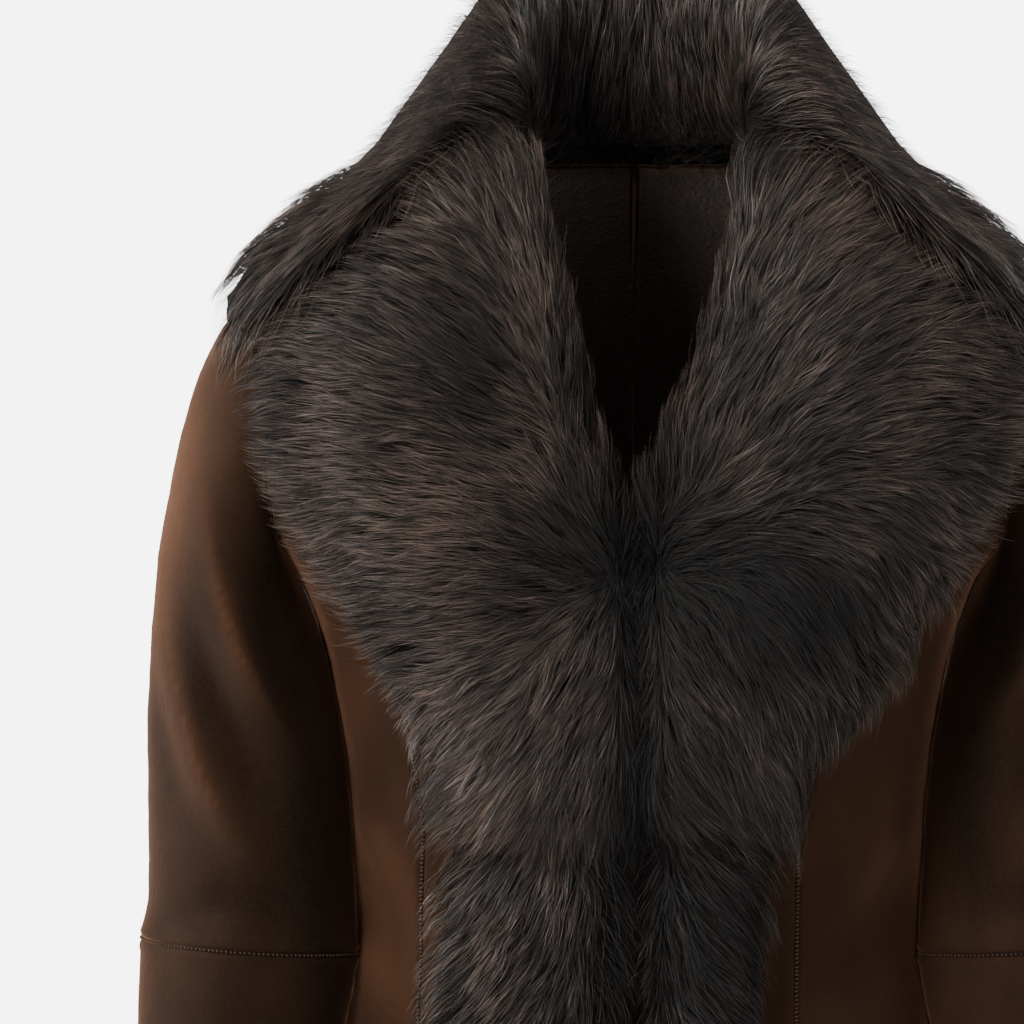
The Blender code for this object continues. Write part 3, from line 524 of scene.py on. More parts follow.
# the nap attribute is the suede's tone together with painted light on ridges and lit spots and painted
# shade in troughs and shaded spots
nap = tool.node("Attribute", {"attribute_name": "nap"}, out=2) + 0.26 * strokes - 0.10
base = tool.node("ValToRGB", {"stops": (
    (0.0, (0.0032, 0.0017, 0.0009)), (0.35, (0.0120, 0.0058, 0.0029)),
    (0.65, (0.0270, 0.0122, 0.0060)), (1.0, (0.0620, 0.0270, 0.0135)))}, {0: nap})
fine = tool.noise(700.0, 2.0)
speck = tool.node("MapRange", None, {"Value": fine, "From Min": 0.3, "From Max": 0.75})
base = tool.mix(speck * 0.22, base, (0.0420, 0.0200, 0.0105, 1))
height = fine * 0.6 + tool.noise(240.0, 3.0) * 0.8 + strokes * 0.6
bump = tool.node("Bump", None, {"Strength": 0.35, "Distance": 0.0007, "Height": height})
plug(tool, shader, {"Base Color": base, "Roughness": 0.96 - 0.10 * strokes, "Normal": bump})

wool, tool, shader = new_material("shorn_wool", {
    "Sheen Weight": 0.25, "Sheen Roughness": 0.5, "Specular IOR Level": 0.2})
curls = tool.noise(420.0, 4.0)
tuft = tool.noise(95.0, 2.0)
base = tool.mix(curls * 0.7 + tuft * 0.3, (0.012, 0.008, 0.006, 1), (0.060, 0.038, 0.027, 1))
bump = tool.node("Bump", None, {"Strength": 0.9, "Distance": 0.002, "Height": curls + tuft})
plug(tool, shader, {"Base Color": base, "Roughness": 0.98 - 0.08 * curls, "Normal": bump})

thread = grained("thread", specular=0.3, grain=(900.0, 2.0), dark=(0.018, 0.0090, 0.0055),
                 light=(0.075, 0.040, 0.025), rough=0.80, smoother=0.15, strength=0.4, distance=0.0003)
print("materials:", [m.name for m in (suede, wool, thread)])

# %% [markdown]
# ## A panel from a grid
# Every suede piece starts as a flat bmesh grid, and its points are moved to their places on the
# coat.  A cloth simulation could drape it, but it would not lie the same way twice.  Near a seam
# the rows and columns stand closer, so that the hide can roll down into the seam.  A Solidify
# modifier then gives it its thickness, with the wool as its inner face.


# %% Rows and rolls beside a seam
NEAR = (0.0, 0.0009, 0.0020, 0.0036, 0.0062)  # distances from a seam that get a row of points
ROLL_RISE = 0.0009  # how far a hide rises beside its seam
ROLL_AT = 0.0034  # how far from the seam it rises most
ROLL_WIDTH = 0.0022
DIP = 0.0014  # how far it dips into the seam
DIP_WIDTH = 0.0010


def stops(count, length, ends=(True, True)):
    """Shares from 0 to 1 along a length, with extra places beside each seamed end."""
    low = np.array(NEAR) / length if ends[0] else np.zeros(1)
    high = 1 - np.array(NEAR)[::-1] / length if ends[1] else np.ones(1)
    middle = np.linspace(low[-1], high[0], count - len(low) - len(high) + 4)[1:-1]
    return np.concatenate((low, middle, high))


def welt(distance):
    """How far a hide rises or dips at a distance from its seam."""
    rise = ROLL_RISE * np.exp(-(((distance - ROLL_AT) / ROLL_WIDTH) ** 2))
    return rise - DIP * np.exp(-distance / DIP_WIDTH)


def walked(points, axis):
    """How far each grid point lies from the first of its row or column, on the surface."""
    gaps = np.linalg.norm(np.diff(points, axis=axis), axis=-1)
    return np.insert(np.cumsum(gaps, axis=axis), 0, 0, axis=axis)


def relief(points, edges):
    """How far grid points move along their normals beside the seamed edges."""
    from_edge = {"start": walked(points, 1), "end": walked(points[:, ::-1], 1)[:, ::-1],
                 "low": walked(points, 0), "high": walked(points[::-1], 0)[::-1]}
    return sum(welt(from_edge[edge]) for edge in edges)[..., None]


print("extra rows beside a seam:", len(NEAR))


# %% Objects and shells
def grid_of(points, nap=None):
    """A bmesh through a grid of points, with the nap's tone, painted light and shade included, at each if
    it is given.
    """
    rows, cols = points.shape[:2]
    bm = bmesh.new()
    bmesh.ops.create_grid(bm, x_segments=cols - 1, y_segments=rows - 1, size=0.5)
    if nap is not None:
        layer = bm.verts.layers.float.new("nap")
    order = sorted(bm.verts, key=lambda v: (round(v.co.y, 6), round(v.co.x, 6)))
    for i, place in enumerate(points.reshape(-1, 3)):
        order[i].co = place
        if nap is not None:
            order[i][layer] = nap.flat[i]
    return bm


def riding(name, mesh, materials):
    """A named object of a mesh that rides the coat."""
    for mat in materials:
        mesh.materials.append(mat)
    mesh.shade_smooth()
    obj = bpy.data.objects.new(name, mesh)
    bpy.context.scene.collection.objects.link(obj)
    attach(obj, "root")
    return obj


def finish(name, bm, node, materials):
    """Turn a bmesh into an object that takes its node's place, if it has one."""
    mesh = bpy.data.meshes.new(name)
    bm.to_mesh(mesh)
    bm.free()
    obj = riding(name, mesh, materials)
    if node:
        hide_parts(node)
    return obj


def thicken(obj, thickness):
    """Give a surface its thickness, inwards."""
    solid = obj.modifiers.new("thickness", "SOLIDIFY")
    solid.thickness = thickness
    solid.offset = -1
    return solid


def unit(vectors):
    """The same directions, one metre long."""
    return vectors / np.maximum(np.linalg.norm(vectors, axis=-1, keepdims=True), 1e-12)


def normals_of(points, closed=False):
    """Normals of a grid of points, from its neighbours."""
    u = np.gradient(points, axis=1)
    if closed:
        u[:, 0] = u[:, -1] = points[:, 1] - points[:, -2]
    v = np.gradient(points, axis=0)
    return unit(np.cross(u, v))


def shell(name, node, points, nap, closed=False):
    """A hide whose outer face goes through a grid of points, with its nap's tone, painted light and shade
    included, at each.
    """
    bm = grid_of(points, nap)
    bmesh.ops.remove_doubles(bm, verts=bm.verts, dist=1e-6 if closed else 2e-5)
    bm.normal_update()
    obj = finish(name, bm, node, (suede, wool))
    thicken(obj, HIDE).material_offset = 1  # the inner face is wool
    width = walked(points, 1)[:, -1].max()
    length = walked(points, 0)[-1].max()
    area = sum(f.area for f in obj.data.polygons)
    print(name, "cut:", round(width, 3), "x", round(length, 3), "m,", round(area, 4), "m2")
    return obj


print("shell:", HIDE, "m thick")

# %% [markdown]
# ## The suede body
# Two halves of a back, and two fronts, each cut in a centre and a side piece: the long seam
# between them takes in the waist and leaves room for the bust.  One ring would be less work, but
# a coat is sewn from flat hides, and each hide waves a little in its own way.

# %% Unevenness and lap
SOFT = (13.0, 29.0, 47.0)  # turns a metre of the hide's slight unevenness
SOFT_HEIGHT = 0.00035
LAP_EDGE = 0.020  # how far from the middle the left front begins to dip under the right one


def uneven(points, seed):
    """Slight waves of a hide, up to about half a millimetre."""
    x, y, z = points[..., 0], points[..., 1], points[..., 2]
    total = 0
    for k, turns in enumerate(SOFT):
        a = 2 * math.pi * turns
        across = np.sin(a * (x + 0.6 * z) + seed + k)
        total = total + across * np.sin(a * (z - 0.5 * y) + 2 * seed) / (k + 1)
    return SOFT_HEIGHT * total[..., None]


def lap_drop(side, points, z):
    """How far the left front lies under the right one."""
    if side == "right":
        return 0.0
    return LAP_DROP * ease((LAP_EDGE - points[..., 0]) / 0.014) * ease((V_Z + 0.03 - z) / 0.03)


print("unevenness:", SOFT_HEIGHT, "m")

# %% Body pieces
PANEL_WIDTH = 0.14  # a body piece's usual width, for the places beside its seams


def body_panel(name, side, heights, first, last, count, edges, seed):
    """A body piece between two angles at every height."""
    share = stops(count, PANEL_WIDTH)
    z = np.repeat(heights[:, None], len(share), axis=1)
    turns = first[:, None] + (last - first)[:, None] * share[None, :]
    points = body(turns, z)
    if name == "front_centre":
        points = body(turns, z, lap_drop(side, points, z))
    out = normals_of(points)
    flip = 1 if np.median(np.sum(out * points * (1, 1, 0), axis=-1)) > 0 else -1
    points = points + out * flip * (relief(points, edges) + uneven(points, seed))
    if flip < 0:
        points = points[:, ::-1]
    node = name + "_" + side
    shell(node + "_hide", node, points, nap_and_painted_light_of(points, BODY_FOLDS))


def heights_of(low, high, count):
    """Heights of a panel's rows."""
    return low + (high - low) * stops(count, high - low, (False, False))


for side, sign in SIDES:
    z = heights_of(HEM_Z, NECK_Z - SEAM, 122)
    edge = edge_degrees(z)
    middle = turn_at(SEAM / 2, z)
    if side == "right":
        edge = 180 - edge
        middle = 180 - middle
    body_panel("back", side, z, edge, middle, 34, ("start", "end"), 1.5 - 0.5 * sign)
    front = degrees_at(sign * read(FRONT_SEAMS, SEAM_COLUMNS, z)["edge_" + side], z)
    outer = np.where(z < JOIN_Z, seam_angle(side, z, -SEAM / 2), side_angle(side, z))
    body_panel("front_centre", side, z, front, outer, 28, ("end",), 3.0 + sign)
    z = heights_of(HEM_Z, JOIN_Z - 0.002, 98)
    inner = seam_angle(side, z, SEAM / 2)
    body_panel("front_side", side, z, inner, side_angle(side, z), 22, ("start", "end"), 5.0 + sign)

# %% [markdown]
# ## The sleeves
# Each sleeve is a tube closed by a seam along its inner side, and cut across at the elbow, where
# a second tube goes on.  Both parts read the same surface, so that creases run on across the
# cut.  They are held off the body, because a sleeve hangs beside it and doesn't grow from it.

# %% Sleeve tubes
SLEEVE_LENGTH = 0.60
SLEEVE_GIRTH = 0.34
CROSS_CUT = 0.00025  # half the space at the elbow seam, as a share of the sleeve
TUBE_CLEAR = 0.0019  # room between the finished sleeve and the body
PARTS = (("upper", 0.0, ELBOW - CROSS_CUT, 74), ("lower", ELBOW + CROSS_CUT, 1.0, 42))


def sleeve_tube(side, part, low, high, count):
    """One part of a sleeve, closed by its seam along the inner side."""
    seamed = ("start", "end", "low", "high") if part == "upper" else ("start", "end", "low")
    along = low + (high - low) * stops(count, SLEEVE_LENGTH * (high - low), (True, part == "upper"))
    turn = stops(80, SLEEVE_GIRTH)
    # from the inner side round to itself, with the columns closest at the front's creases
    turn = 0.5 + turn - 0.5 * (np.sin(2 * math.pi * (turn - 0.75)) - 1) / (2 * math.pi)
    rows, cols = np.meshgrid(along, turn, indexing="ij")
    points = sleeve(rows, cols, side)
    out = normals_of(points, closed=True)
    middle = points[:, :-1].mean(axis=1, keepdims=True)
    flip = 1 if np.median(np.sum(out * (points - middle), axis=-1)) > 0 else -1
    outer = (0.5 + 0.5 * np.cos(2 * math.pi * cols))[..., None]
    points = points + out * flip * (relief(points, seamed) + uneven(points, 7.0 + len(side)) * outer)
    points[:, -1] = points[:, 0]
    reach = body_side(points[..., 1], points[..., 2]) + TUBE_CLEAR * ease(rows / CLEAR_FROM)
    points[..., 0] = np.sign(points[..., 0]) * np.maximum(np.abs(points[..., 0]), reach)
    if flip < 0:
        points = points[:, ::-1]
    node = "sleeve_" + part + "_" + side
    shell(node + "_hide", node, points, nap_and_painted_light_of(points, SLEEVE_FOLDS), closed=True)


for side, sign in SIDES:
    for row in PARTS:
        sleeve_tube(side, *row)

# %% [markdown]
# ## Seams and stitches
# Two hides are drawn together by an overcast row: every stitch crosses the seam, so that the
# row stands up like a thin rope.  Under it lies a cord that fills the dip.  A bump could draw
# all this, but a row that stands up by a millimetre is seen at every edge, so it is modelled.
# The front's long seam is sewn with thicker thread than the others.

# %% Lines and cords
CORD_SIDES = 6


def face_out(surface, u, v, step_u, step_v):
    """Points of a surface with their normals, from small steps either way."""
    du = surface(u + step_u, v) - surface(u - step_u, v)
    dv = surface(u, v + step_v) - surface(u, v - step_v)
    return surface(u, v), unit(np.cross(du, dv))


def frame_of(points, out):
    """Directions along, across and away at every place of a line."""
    ahead = unit(np.gradient(points, axis=0))
    across = unit(np.cross(ahead, out))
    return ahead, across, np.cross(across, ahead)


def cord(name, points, out, radius):
    """A grid rolled up to a thin tube along a line."""
    ahead, across, away = frame_of(points, out)
    turn = np.linspace(0, 2 * math.pi, CORD_SIDES + 1)[None, :, None]
    rings = points[:, None] + radius * (np.cos(turn) * across[:, None] + np.sin(turn) * away[:, None])
    bm = grid_of(rings)
    bmesh.ops.remove_doubles(bm, verts=bm.verts, dist=1e-6)
    bmesh.ops.holes_fill(bm, edges=[e for e in bm.edges if e.is_boundary], sides=8)
    bmesh.ops.recalc_face_normals(bm, faces=bm.faces)
    finish(name, bm, None, (suede,))


def joined(name, shapes, corners, starts, mat):
    """One mesh of many like shapes; shapes is count x points x 3."""
    count, each = shapes.shape[:2]
    loops = (np.arange(count)[:, None] * each + corners).ravel()
    firsts = (np.arange(count)[:, None] * len(corners) + starts).ravel()
    mesh = bpy.data.meshes.new(name)
    mesh.vertices.add(count * each)
    mesh.vertices.foreach_set("co", shapes.ravel())
    mesh.loops.add(len(loops))
    mesh.loops.foreach_set("vertex_index", loops)
    mesh.polygons.add(len(firsts))
    mesh.polygons.foreach_set("loop_start", firsts)
    mesh.update(calc_edges=True)
    obj = riding(name, mesh, (mat,))
    return obj


print("sides of a cord:", CORD_SIDES)

# %% [markdown]
# ## Stitches
# A stitch is a short thick bead of thread.  A curve with a bevel would be smoother, but there are
# thousands of them, so each is a small icosphere that is stretched over the seam.

# %% Stitches
STITCH_LIFT = 0.0002  # how far a stitch's middle stands above the hides' faces
SLANT = 0.42  # how far a stitch leans along its seam, for a length of one across
bm = bmesh.new()
bmesh.ops.create_icosphere(bm, subdivisions=1, radius=0.5)
BEAD = np.array([v.co[:] for v in bm.verts])
BEAD_CORNERS = np.array([v.index for f in bm.faces for v in f.verts])
bm.free()


def stitches(name, points, out, spacing, size, seed):
    """A bead every spacing along a line, each laid slantwise over it."""
    rng = np.random.default_rng(seed)
    walk = np.concatenate(((0,), np.cumsum(np.linalg.norm(np.diff(points, axis=0), axis=1))))
    places = np.arange(spacing / 2, walk[-1], spacing)
    places += rng.normal(0, 0.07 * spacing, len(places))
    middle = np.stack([np.interp(places, walk, points[:, k]) for k in range(3)], axis=1)
    away = np.stack([np.interp(places, walk, out[:, k]) for k in range(3)], axis=1)
    ahead, across, away = frame_of(middle, away)
    slant = SLANT + rng.normal(0, 0.08, (len(places), 1))
    long_way = unit(across + slant * ahead)
    short_way = unit(ahead - slant * across)
    shapes = middle[:, None] + away[:, None] * STITCH_LIFT
    for k, (way, share) in enumerate(zip((long_way, short_way, away), size)):
        shapes = shapes + BEAD[None, :, k, None] * way[:, None] * share
    joined(name, shapes, BEAD_CORNERS, np.arange(20) * 3, thread)


print("faces of a stitch:", len(BEAD_CORNERS) // 3)

# %% Kinds of seam
ROPE = (0.0011, 0.0021, (0.0028, 0.0015, 0.0013))  # cord radius, spacing, stitch size
FINE = (0.0006, 0.0024, (0.0014, 0.0010, 0.0008))
CROSS = (0.0010, 0.0024, (0.0015, 0.0010, 0.0009))
ARM = (0.0016, 0.0024, (0.0014, 0.0010, 0.0008))
CORD_LIFT = 0.0003  # how far a cord's top stands above the hides' faces


def sew(name, points, out, kind, seed):
    """The cord and the stitches of one seam."""
    radius, spacing, size = kind
    cord("cord_" + name, points - out * (radius - CORD_LIFT), out, radius)
    stitches("stitches_" + name, points, out, spacing, size, seed)


def sew_body(name, low, high, count, angle, kind, seed):
    """A seam of the body between two heights; angle gives its degrees at each."""
    z = np.linspace(low, high, count)
    sew(name, *face_out(body, angle(z), z, 0.3, 0.001), kind, seed)


def sew_sleeve(name, side, turn, along, kind, seed):
    """A seam of a sleeve, worked out on the left and mirrored back for the right."""
    mirror = (dict(SIDES)[side], 1, 1)
    place, out = face_out(lambda u, v: sleeve(v, u, side) * mirror, turn, along, 0.004, 0.004)
    sew(name, place * mirror, unit(out * mirror), kind, seed)


print("kinds of seam:", len((ROPE, FINE, CROSS, ARM)))

# %% Sew the coat
BOTTOM = HEM_Z + 0.001  # every seam starts or stops just short of an edge or another seam
for side, sign in SIDES:
    sew_body("front_" + side, BOTTOM, JOIN_Z - 0.006, 130, lambda z: seam_angle(side, z), ROPE, 21)
    flank = 359.999 if side == "left" else 180.001
    sew_body("side_" + side, BOTTOM, ARMPIT_Z - 0.004, 110, lambda z: np.full_like(z, flank), FINE, 22)
    sew_body("shoulder_" + side, SHOULDER_Z + 0.004, NECK_Z - 0.004, 30,
             lambda z: np.full_like(z, flank), FINE, 23)
    turn = np.linspace(0, 1, 81)
    hole = armhole(turn) * (sign, 1, 1)
    flare = unit(hole - hole[:-1].mean(axis=0)) + np.array((sign * 0.9, 0, 0))
    sew("armhole_" + side, hole, unit(flare), ARM, 24)
    sew_sleeve("elbow_" + side, side, turn, np.full(81, ELBOW), CROSS, 25)
    sew_sleeve("sleeve_" + side, side, np.full(110, 0.5), np.linspace(0.012, 0.996, 110), FINE, 26)
sew_body("centre_back", BOTTOM, NECK_Z - 0.004, 150, lambda z: np.full_like(z, 90.0), FINE, 27)

# %% [markdown]
# ## Fur: the hide, the underwool, the hair
# A furrier's piece is a hide with wool close to it and long hair over that.  The frame's fur
# solids reach as far as the hair does, so each one gives three things: its underside is the
# hide, a shrunken copy is the wool, and its hair side says where the tips of the hair lie.  A
# particle system would grow hair as well; meshes are made instead, because they go with the
# part wherever it goes.

# %% Fur materials
hair, tool, shader = new_material("long_hair", {
    "Specular IOR Level": 0.30, "Sheen Weight": 0.06, "Sheen Roughness": 0.35})
tone = tool.node("Attribute", {"attribute_name": "tone"}, out=2)
ramp = tool.node("ValToRGB", {"stops": (
    (0.0, (0.0022, 0.0017, 0.0014)), (0.40, (0.0100, 0.0074, 0.0060)),
    (0.72, (0.044, 0.031, 0.025)), (1.0, (0.150, 0.102, 0.082)))}, {0: tone})
plug(tool, shader, {"Base Color": ramp, "Roughness": 0.66 - 0.26 * tone})

# the underwool's own dark colour, kept near black as painted shade in the gaps between the hairs
under = grained("underwool", specular=0.15, grain=(260.0, 4.0), dark=(0.004, 0.003, 0.0026),
                light=(0.014, 0.010, 0.0085), rough=0.98, smoother=0.05, strength=1.0, distance=0.003)
# the hide under the hair is made near black, darker than its suede, as painted shade under the fur
painted_shade_hide = grained("fur_hide_painted_shade", specular=0.1, grain=(180.0, 3.0), dark=(0.0050, 0.0030, 0.0022),
                  light=(0.0150, 0.0090, 0.0062), rough=0.98, smoother=0.06, strength=0.4, distance=0.001)
print("fur materials:", hair.name, under.name, painted_shade_hide.name)

# %% [markdown]
# ## Which way the hair lies
# Hair on a hide flows like water.  Here it springs from a whorl where the coat closes, runs up
# beside the neck, arches over the revers and droops at their ends, and falls along the bands.
# It could be combed with a brush, but a table can be read and changed.  Each row says which way
# the hair lies at one place of the front view: 0 degrees is to the wearer's left, 90 is up.

# %% Flow tables
FLOW_RIGHT = (  # x, z, degrees
    (-0.060, -0.007, 97), (-0.078, -0.024, 115), (-0.102, -0.024, 130), (-0.120, -0.031, 145),
    (-0.137, -0.036, 155), (-0.126, -0.060, 158), (-0.144, -0.067, 168), (-0.108, -0.078, 152),
    (-0.084, -0.054, 125), (-0.072, -0.072, 120), (-0.175, -0.111, 178), (-0.203, -0.118, 190),
    (-0.147, -0.139, 176), (-0.120, -0.125, 170), (-0.077, -0.132, 150), (-0.050, -0.146, 130),
    (-0.050, -0.180, 145), (-0.077, -0.180, 160), (-0.106, -0.194, 172), (-0.147, -0.194, 186),
    (-0.168, -0.202, 196), (-0.077, -0.215, 176), (-0.106, -0.243, 192), (-0.147, -0.264, 208),
    (-0.077, -0.257, 202), (-0.092, -0.285, 216), (-0.043, -0.278, 238), (-0.022, -0.257, 250),
    (-0.008, -0.285, 262), (-0.019, -0.151, 100), (-0.032, -0.118, 97), (-0.048, -0.062, 92),
    (-0.040, -0.021, 85), (-0.099, -0.316, 225), (-0.064, -0.298, 235), (-0.030, -0.290, 257),
    (-0.073, -0.342, 245), (-0.038, -0.342, 268), (-0.012, -0.350, 282), (-0.099, -0.368, 222),
    (-0.030, -0.385, 268), (-0.012, -0.402, 280), (-0.108, -0.411, 205), (-0.064, -0.402, 245),
    (-0.090, -0.428, 225), (-0.014, -0.205, 130), (-0.016, -0.232, 215), (-0.060, -0.560, 258),
    (-0.108, -0.560, 232), (-0.016, -0.560, 278), (-0.060, -0.750, 262), (-0.108, -0.750, 235),
    (-0.016, -0.750, 278),
)
FLOW_LEFT = (
    (0.046, -0.022, 98), (0.072, -0.015, 66), (0.053, -0.060, 85), (0.075, -0.045, 62),
    (0.095, -0.033, 45), (0.080, -0.068, 60), (0.110, -0.060, 38), (0.126, -0.068, 27),
    (0.072, -0.098, 58), (0.103, -0.091, 38), (0.126, -0.114, 17), (0.042, -0.129, 72),
    (0.072, -0.129, 50), (0.095, -0.137, 32), (0.019, -0.137, 92), (0.008, -0.152, 90),
    (0.064, -0.160, 40), (0.118, -0.152, 12), (0.034, -0.182, 30), (0.072, -0.190, 12),
    (0.110, -0.190, -15), (0.150, -0.120, 6), (0.180, -0.120, -8), (0.160, -0.180, -25),
    (0.083, -0.239, -40), (0.057, -0.255, -62), (0.092, -0.255, -60), (0.109, -0.272, -50),
    (0.074, -0.290, -60), (0.022, -0.281, -55), (0.014, -0.264, -60), (0.040, -0.307, -54),
    (0.066, -0.333, -62), (0.022, -0.333, -62), (0.040, -0.359, -60), (0.057, -0.350, -58),
    (0.031, -0.385, -60), (0.048, -0.411, -50), (0.005, -0.316, -85), (0.014, -0.402, -70),
    (0.008, -0.205, 20), (0.020, -0.230, -35), (0.130, -0.235, -60), (0.097, -0.235, -68),
    (0.117, -0.215, -58), (0.035, -0.560, -80), (0.060, -0.560, -55), (0.010, -0.560, -88),
    (0.035, -0.750, -82), (0.060, -0.750, -60), (0.100, -0.312, -78), (0.086, -0.334, -80),
    (0.108, -0.295, -68),
)


def table_flow(table, points):
    """Direction of the hair in the front view, from the rows near each point."""
    x, z, degrees = np.array(table).T
    angle = np.radians(degrees)
    way = np.stack((np.cos(angle), 0 * angle, np.sin(angle)), axis=-1)
    far = np.hypot(points[:, None, 0] - x, points[:, None, 2] - z)
    weight = 1 / (far + 0.011) ** 3.5
    flow = weight @ way
    return flow / np.linalg.norm(flow, axis=1, keepdims=True)


COLLAR_FLOW_COLUMNS = ("radius", "out", "up")
COLLAR_FLOW = (
    (0.040, 0.0, 1.0), (0.062, 0.1, 1.0), (0.080, 0.7, 0.7), (0.110, 1.0, 0.25),
    (0.160, 1.0, -0.10), (0.200, 0.9, -0.45), (0.240, 0.7, -0.70),
)


def collar_flow(points):
    """Up the inside of the stand, out over its roll and down the leaf."""
    around = points * (1, 1, 0)
    radius = np.linalg.norm(around, axis=1)
    row = read(COLLAR_FLOW, COLLAR_FLOW_COLUMNS, radius)
    return around / radius[:, None] * row["out"][:, None] + row["up"][:, None] * np.array((0, 0, 1.0))


print("flow rows:", len(FLOW_RIGHT), "right,", len(FLOW_LEFT), "left")

# %% [markdown]
# ## Hide and underwool from the solids
# A ray from each face of a fur solid tells its sides apart: where the ray soon meets the coat,
# that face is the hide's side.  Every other face is hair.  The wool's depth follows the
# solid's own thickness, so it thins out towards the edges.

# %% The left revers' corner
TRIM_X = 0.055  # from here the left revers' lower corner is drawn in
TRIM_Z = -0.285  # and below here
TRIM = 0.45  # by this share of what lies past TRIM_X


def trimmed(node, points):
    """The left revers narrows towards the band; this draws its lower corner in along the front."""
    if node != "revers_left":
        return points
    x, y, z = points[:, 0], points[:, 1], points[:, 2]
    row = read(BODY, BODY_COLUMNS, z)
    past = np.maximum(x - TRIM_X, 0) * TRIM * ease((TRIM_Z - z) / 0.050)
    depth = [row["front"] * (1 - np.clip(np.abs(at) / row["half_width"], 0, 0.98) ** row["power"])
             ** (1 / row["power"]) for at in (x, x - past)]
    return np.stack((x - past, y + depth[0] - depth[1], z), axis=1)


def trim_mesh(node, bm):
    """The same for the vertices of a mesh."""
    places = trimmed(node, np.array([v.co[:] for v in bm.verts]))
    for vert, place in zip(bm.verts, places):
        vert.co = place


print("trimmed below:", TRIM_Z)


# %% Sides of a fur solid
def merged(node):
    """A merged copy of a CAD solid."""
    bm = bmesh.new()
    bm.from_mesh(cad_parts[node].data)
    bmesh.ops.remove_doubles(bm, verts=bm.verts, dist=1e-6)
    bm.normal_update()
    bm.faces.ensure_lookup_table()
    return bm


def search_tree(objects):
    """One search tree of the faces of some objects."""
    verts = []
    faces = []
    for obj in objects:
        start = len(verts)
        verts += [v.co.copy() for v in obj.data.vertices]
        faces += [[start + i for i in f.vertices] for f in obj.data.polygons]
    return BVHTree.FromPolygons(verts, faces)


REACH = 0.008  # a face that finds the coat within this is on the hide's side
COLLAR_REACH = 0.060  # the same at the collar, which stands free
SKIN = 0.0004  # where a ray starts, off its face
SOLIDS = search_tree(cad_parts.values())


def hair_side(node, bm):
    """For each face, whether hair grows there; on the collar also where it looks ahead or outward."""
    reach = COLLAR_REACH if node == "collar" else REACH
    out = []
    for face in bm.faces:
        start = face.calc_center_median() + face.normal * SKIN
        free = SOLIDS.ray_cast(start, face.normal, reach)[0] is None
        if node == "collar":
            around = Vector((start.x, start.y, 0)).normalized()
            free = free or face.normal.y < -0.25 or face.normal.dot(around) > 0.05
        out.append(free)
    return out


print("solids that a ray may meet:", len(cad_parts))

# %% Underwool
WOOL_DEPTH = 0.0095  # how far the wool lies below the tips of the hair
COLLAR_DEPTH = 0.0045  # the same at the collar, whose edges stand against the light
BACK_DEPTH = 0.0022  # how far the wool shrinks on the hide's side
JUNCTION_Z = -0.339  # where the bands go on below the revers


def make_underwool(node, bm, hairy):
    """The solid, shrunken on its hair side, with its ends at the junction kept in line."""
    tree = BVHTree.FromBMesh(bm)
    deep = COLLAR_DEPTH if node == "collar" else WOOL_DEPTH
    depth = {}
    for vert in bm.verts:
        thick = tree.ray_cast(vert.co - vert.normal * SKIN, -vert.normal, 0.08)[3] or 0.0
        free = any(hairy[f.index] for f in vert.link_faces)
        depth[vert.index] = min(deep, 0.45 * thick) if free else min(BACK_DEPTH, 0.3 * thick)
    for turn in range(3):
        mean = {v.index: sum(depth[e.other_vert(v).index] for e in v.link_edges) / len(v.link_edges)
                for v in bm.verts}
        depth = {i: min(depth[i], mean[i]) for i in depth}
    ends = [v for v in bm.verts if node != "collar" and abs(v.co.z - JUNCTION_Z) < 0.004]
    moves = {v: v.co - v.normal * depth[v.index] for v in bm.verts}
    for vert, place in moves.items():
        vert.co = place
    bmesh.ops.smooth_vert(bm, verts=bm.verts, factor=0.4, use_axis_x=True, use_axis_y=True, use_axis_z=True)
    for vert in ends:
        vert.co.z = JUNCTION_Z - 0.002 if node.startswith("revers") else JUNCTION_Z + 0.002
    trim_mesh(node, bm)
    return finish(node + "_underwool", bm, node, (under,))


print("wool below the tips:", WOOL_DEPTH, "m")

# %% Hides under the hair
FUR = ("collar", "revers_right", "revers_left", "band_right", "band_left")
FUR_HIDE = 0.0014  # thickness of the hide under the hair


def make_hide(node, bm, hairy):
    """The solid's underside as a thin hide, near black as painted shade under the hair."""
    bmesh.ops.delete(bm, geom=[f for f, side in zip(bm.faces, hairy) if side], context="FACES")
    trim_mesh(node, bm)
    obj = finish(node + "_hide", bm, node, (painted_shade_hide,))
    thicken(obj, FUR_HIDE)
    corners = np.array([v.co[:] for v in obj.data.vertices])
    print(node, "hide:", np.round(np.ptp(corners, axis=0), 3), "m,",
          round(sum(f.area for f in obj.data.polygons), 4), "m2")
    return obj


CORES = {}
for node in FUR:
    bm = merged(node)
    hairy = hair_side(node, bm)
    CORES[node] = make_underwool(node, bm, hairy)
    make_hide(node, merged(node), hairy)
print("underwool and hides:", len(CORES))

# %% [markdown]
# ## Growing the hair
# Nobody draws this many hairs by hand, so arrays do it.  A tip is scattered on the hair side,
# its root is found on the wool behind it, and a curve joins them that stands up first and then
# lies down.  Hairs near each other lean together into locks, as oily hair does.  Each hair
# is a flat ribbon of five triangles; a round one would need many more and look the same.

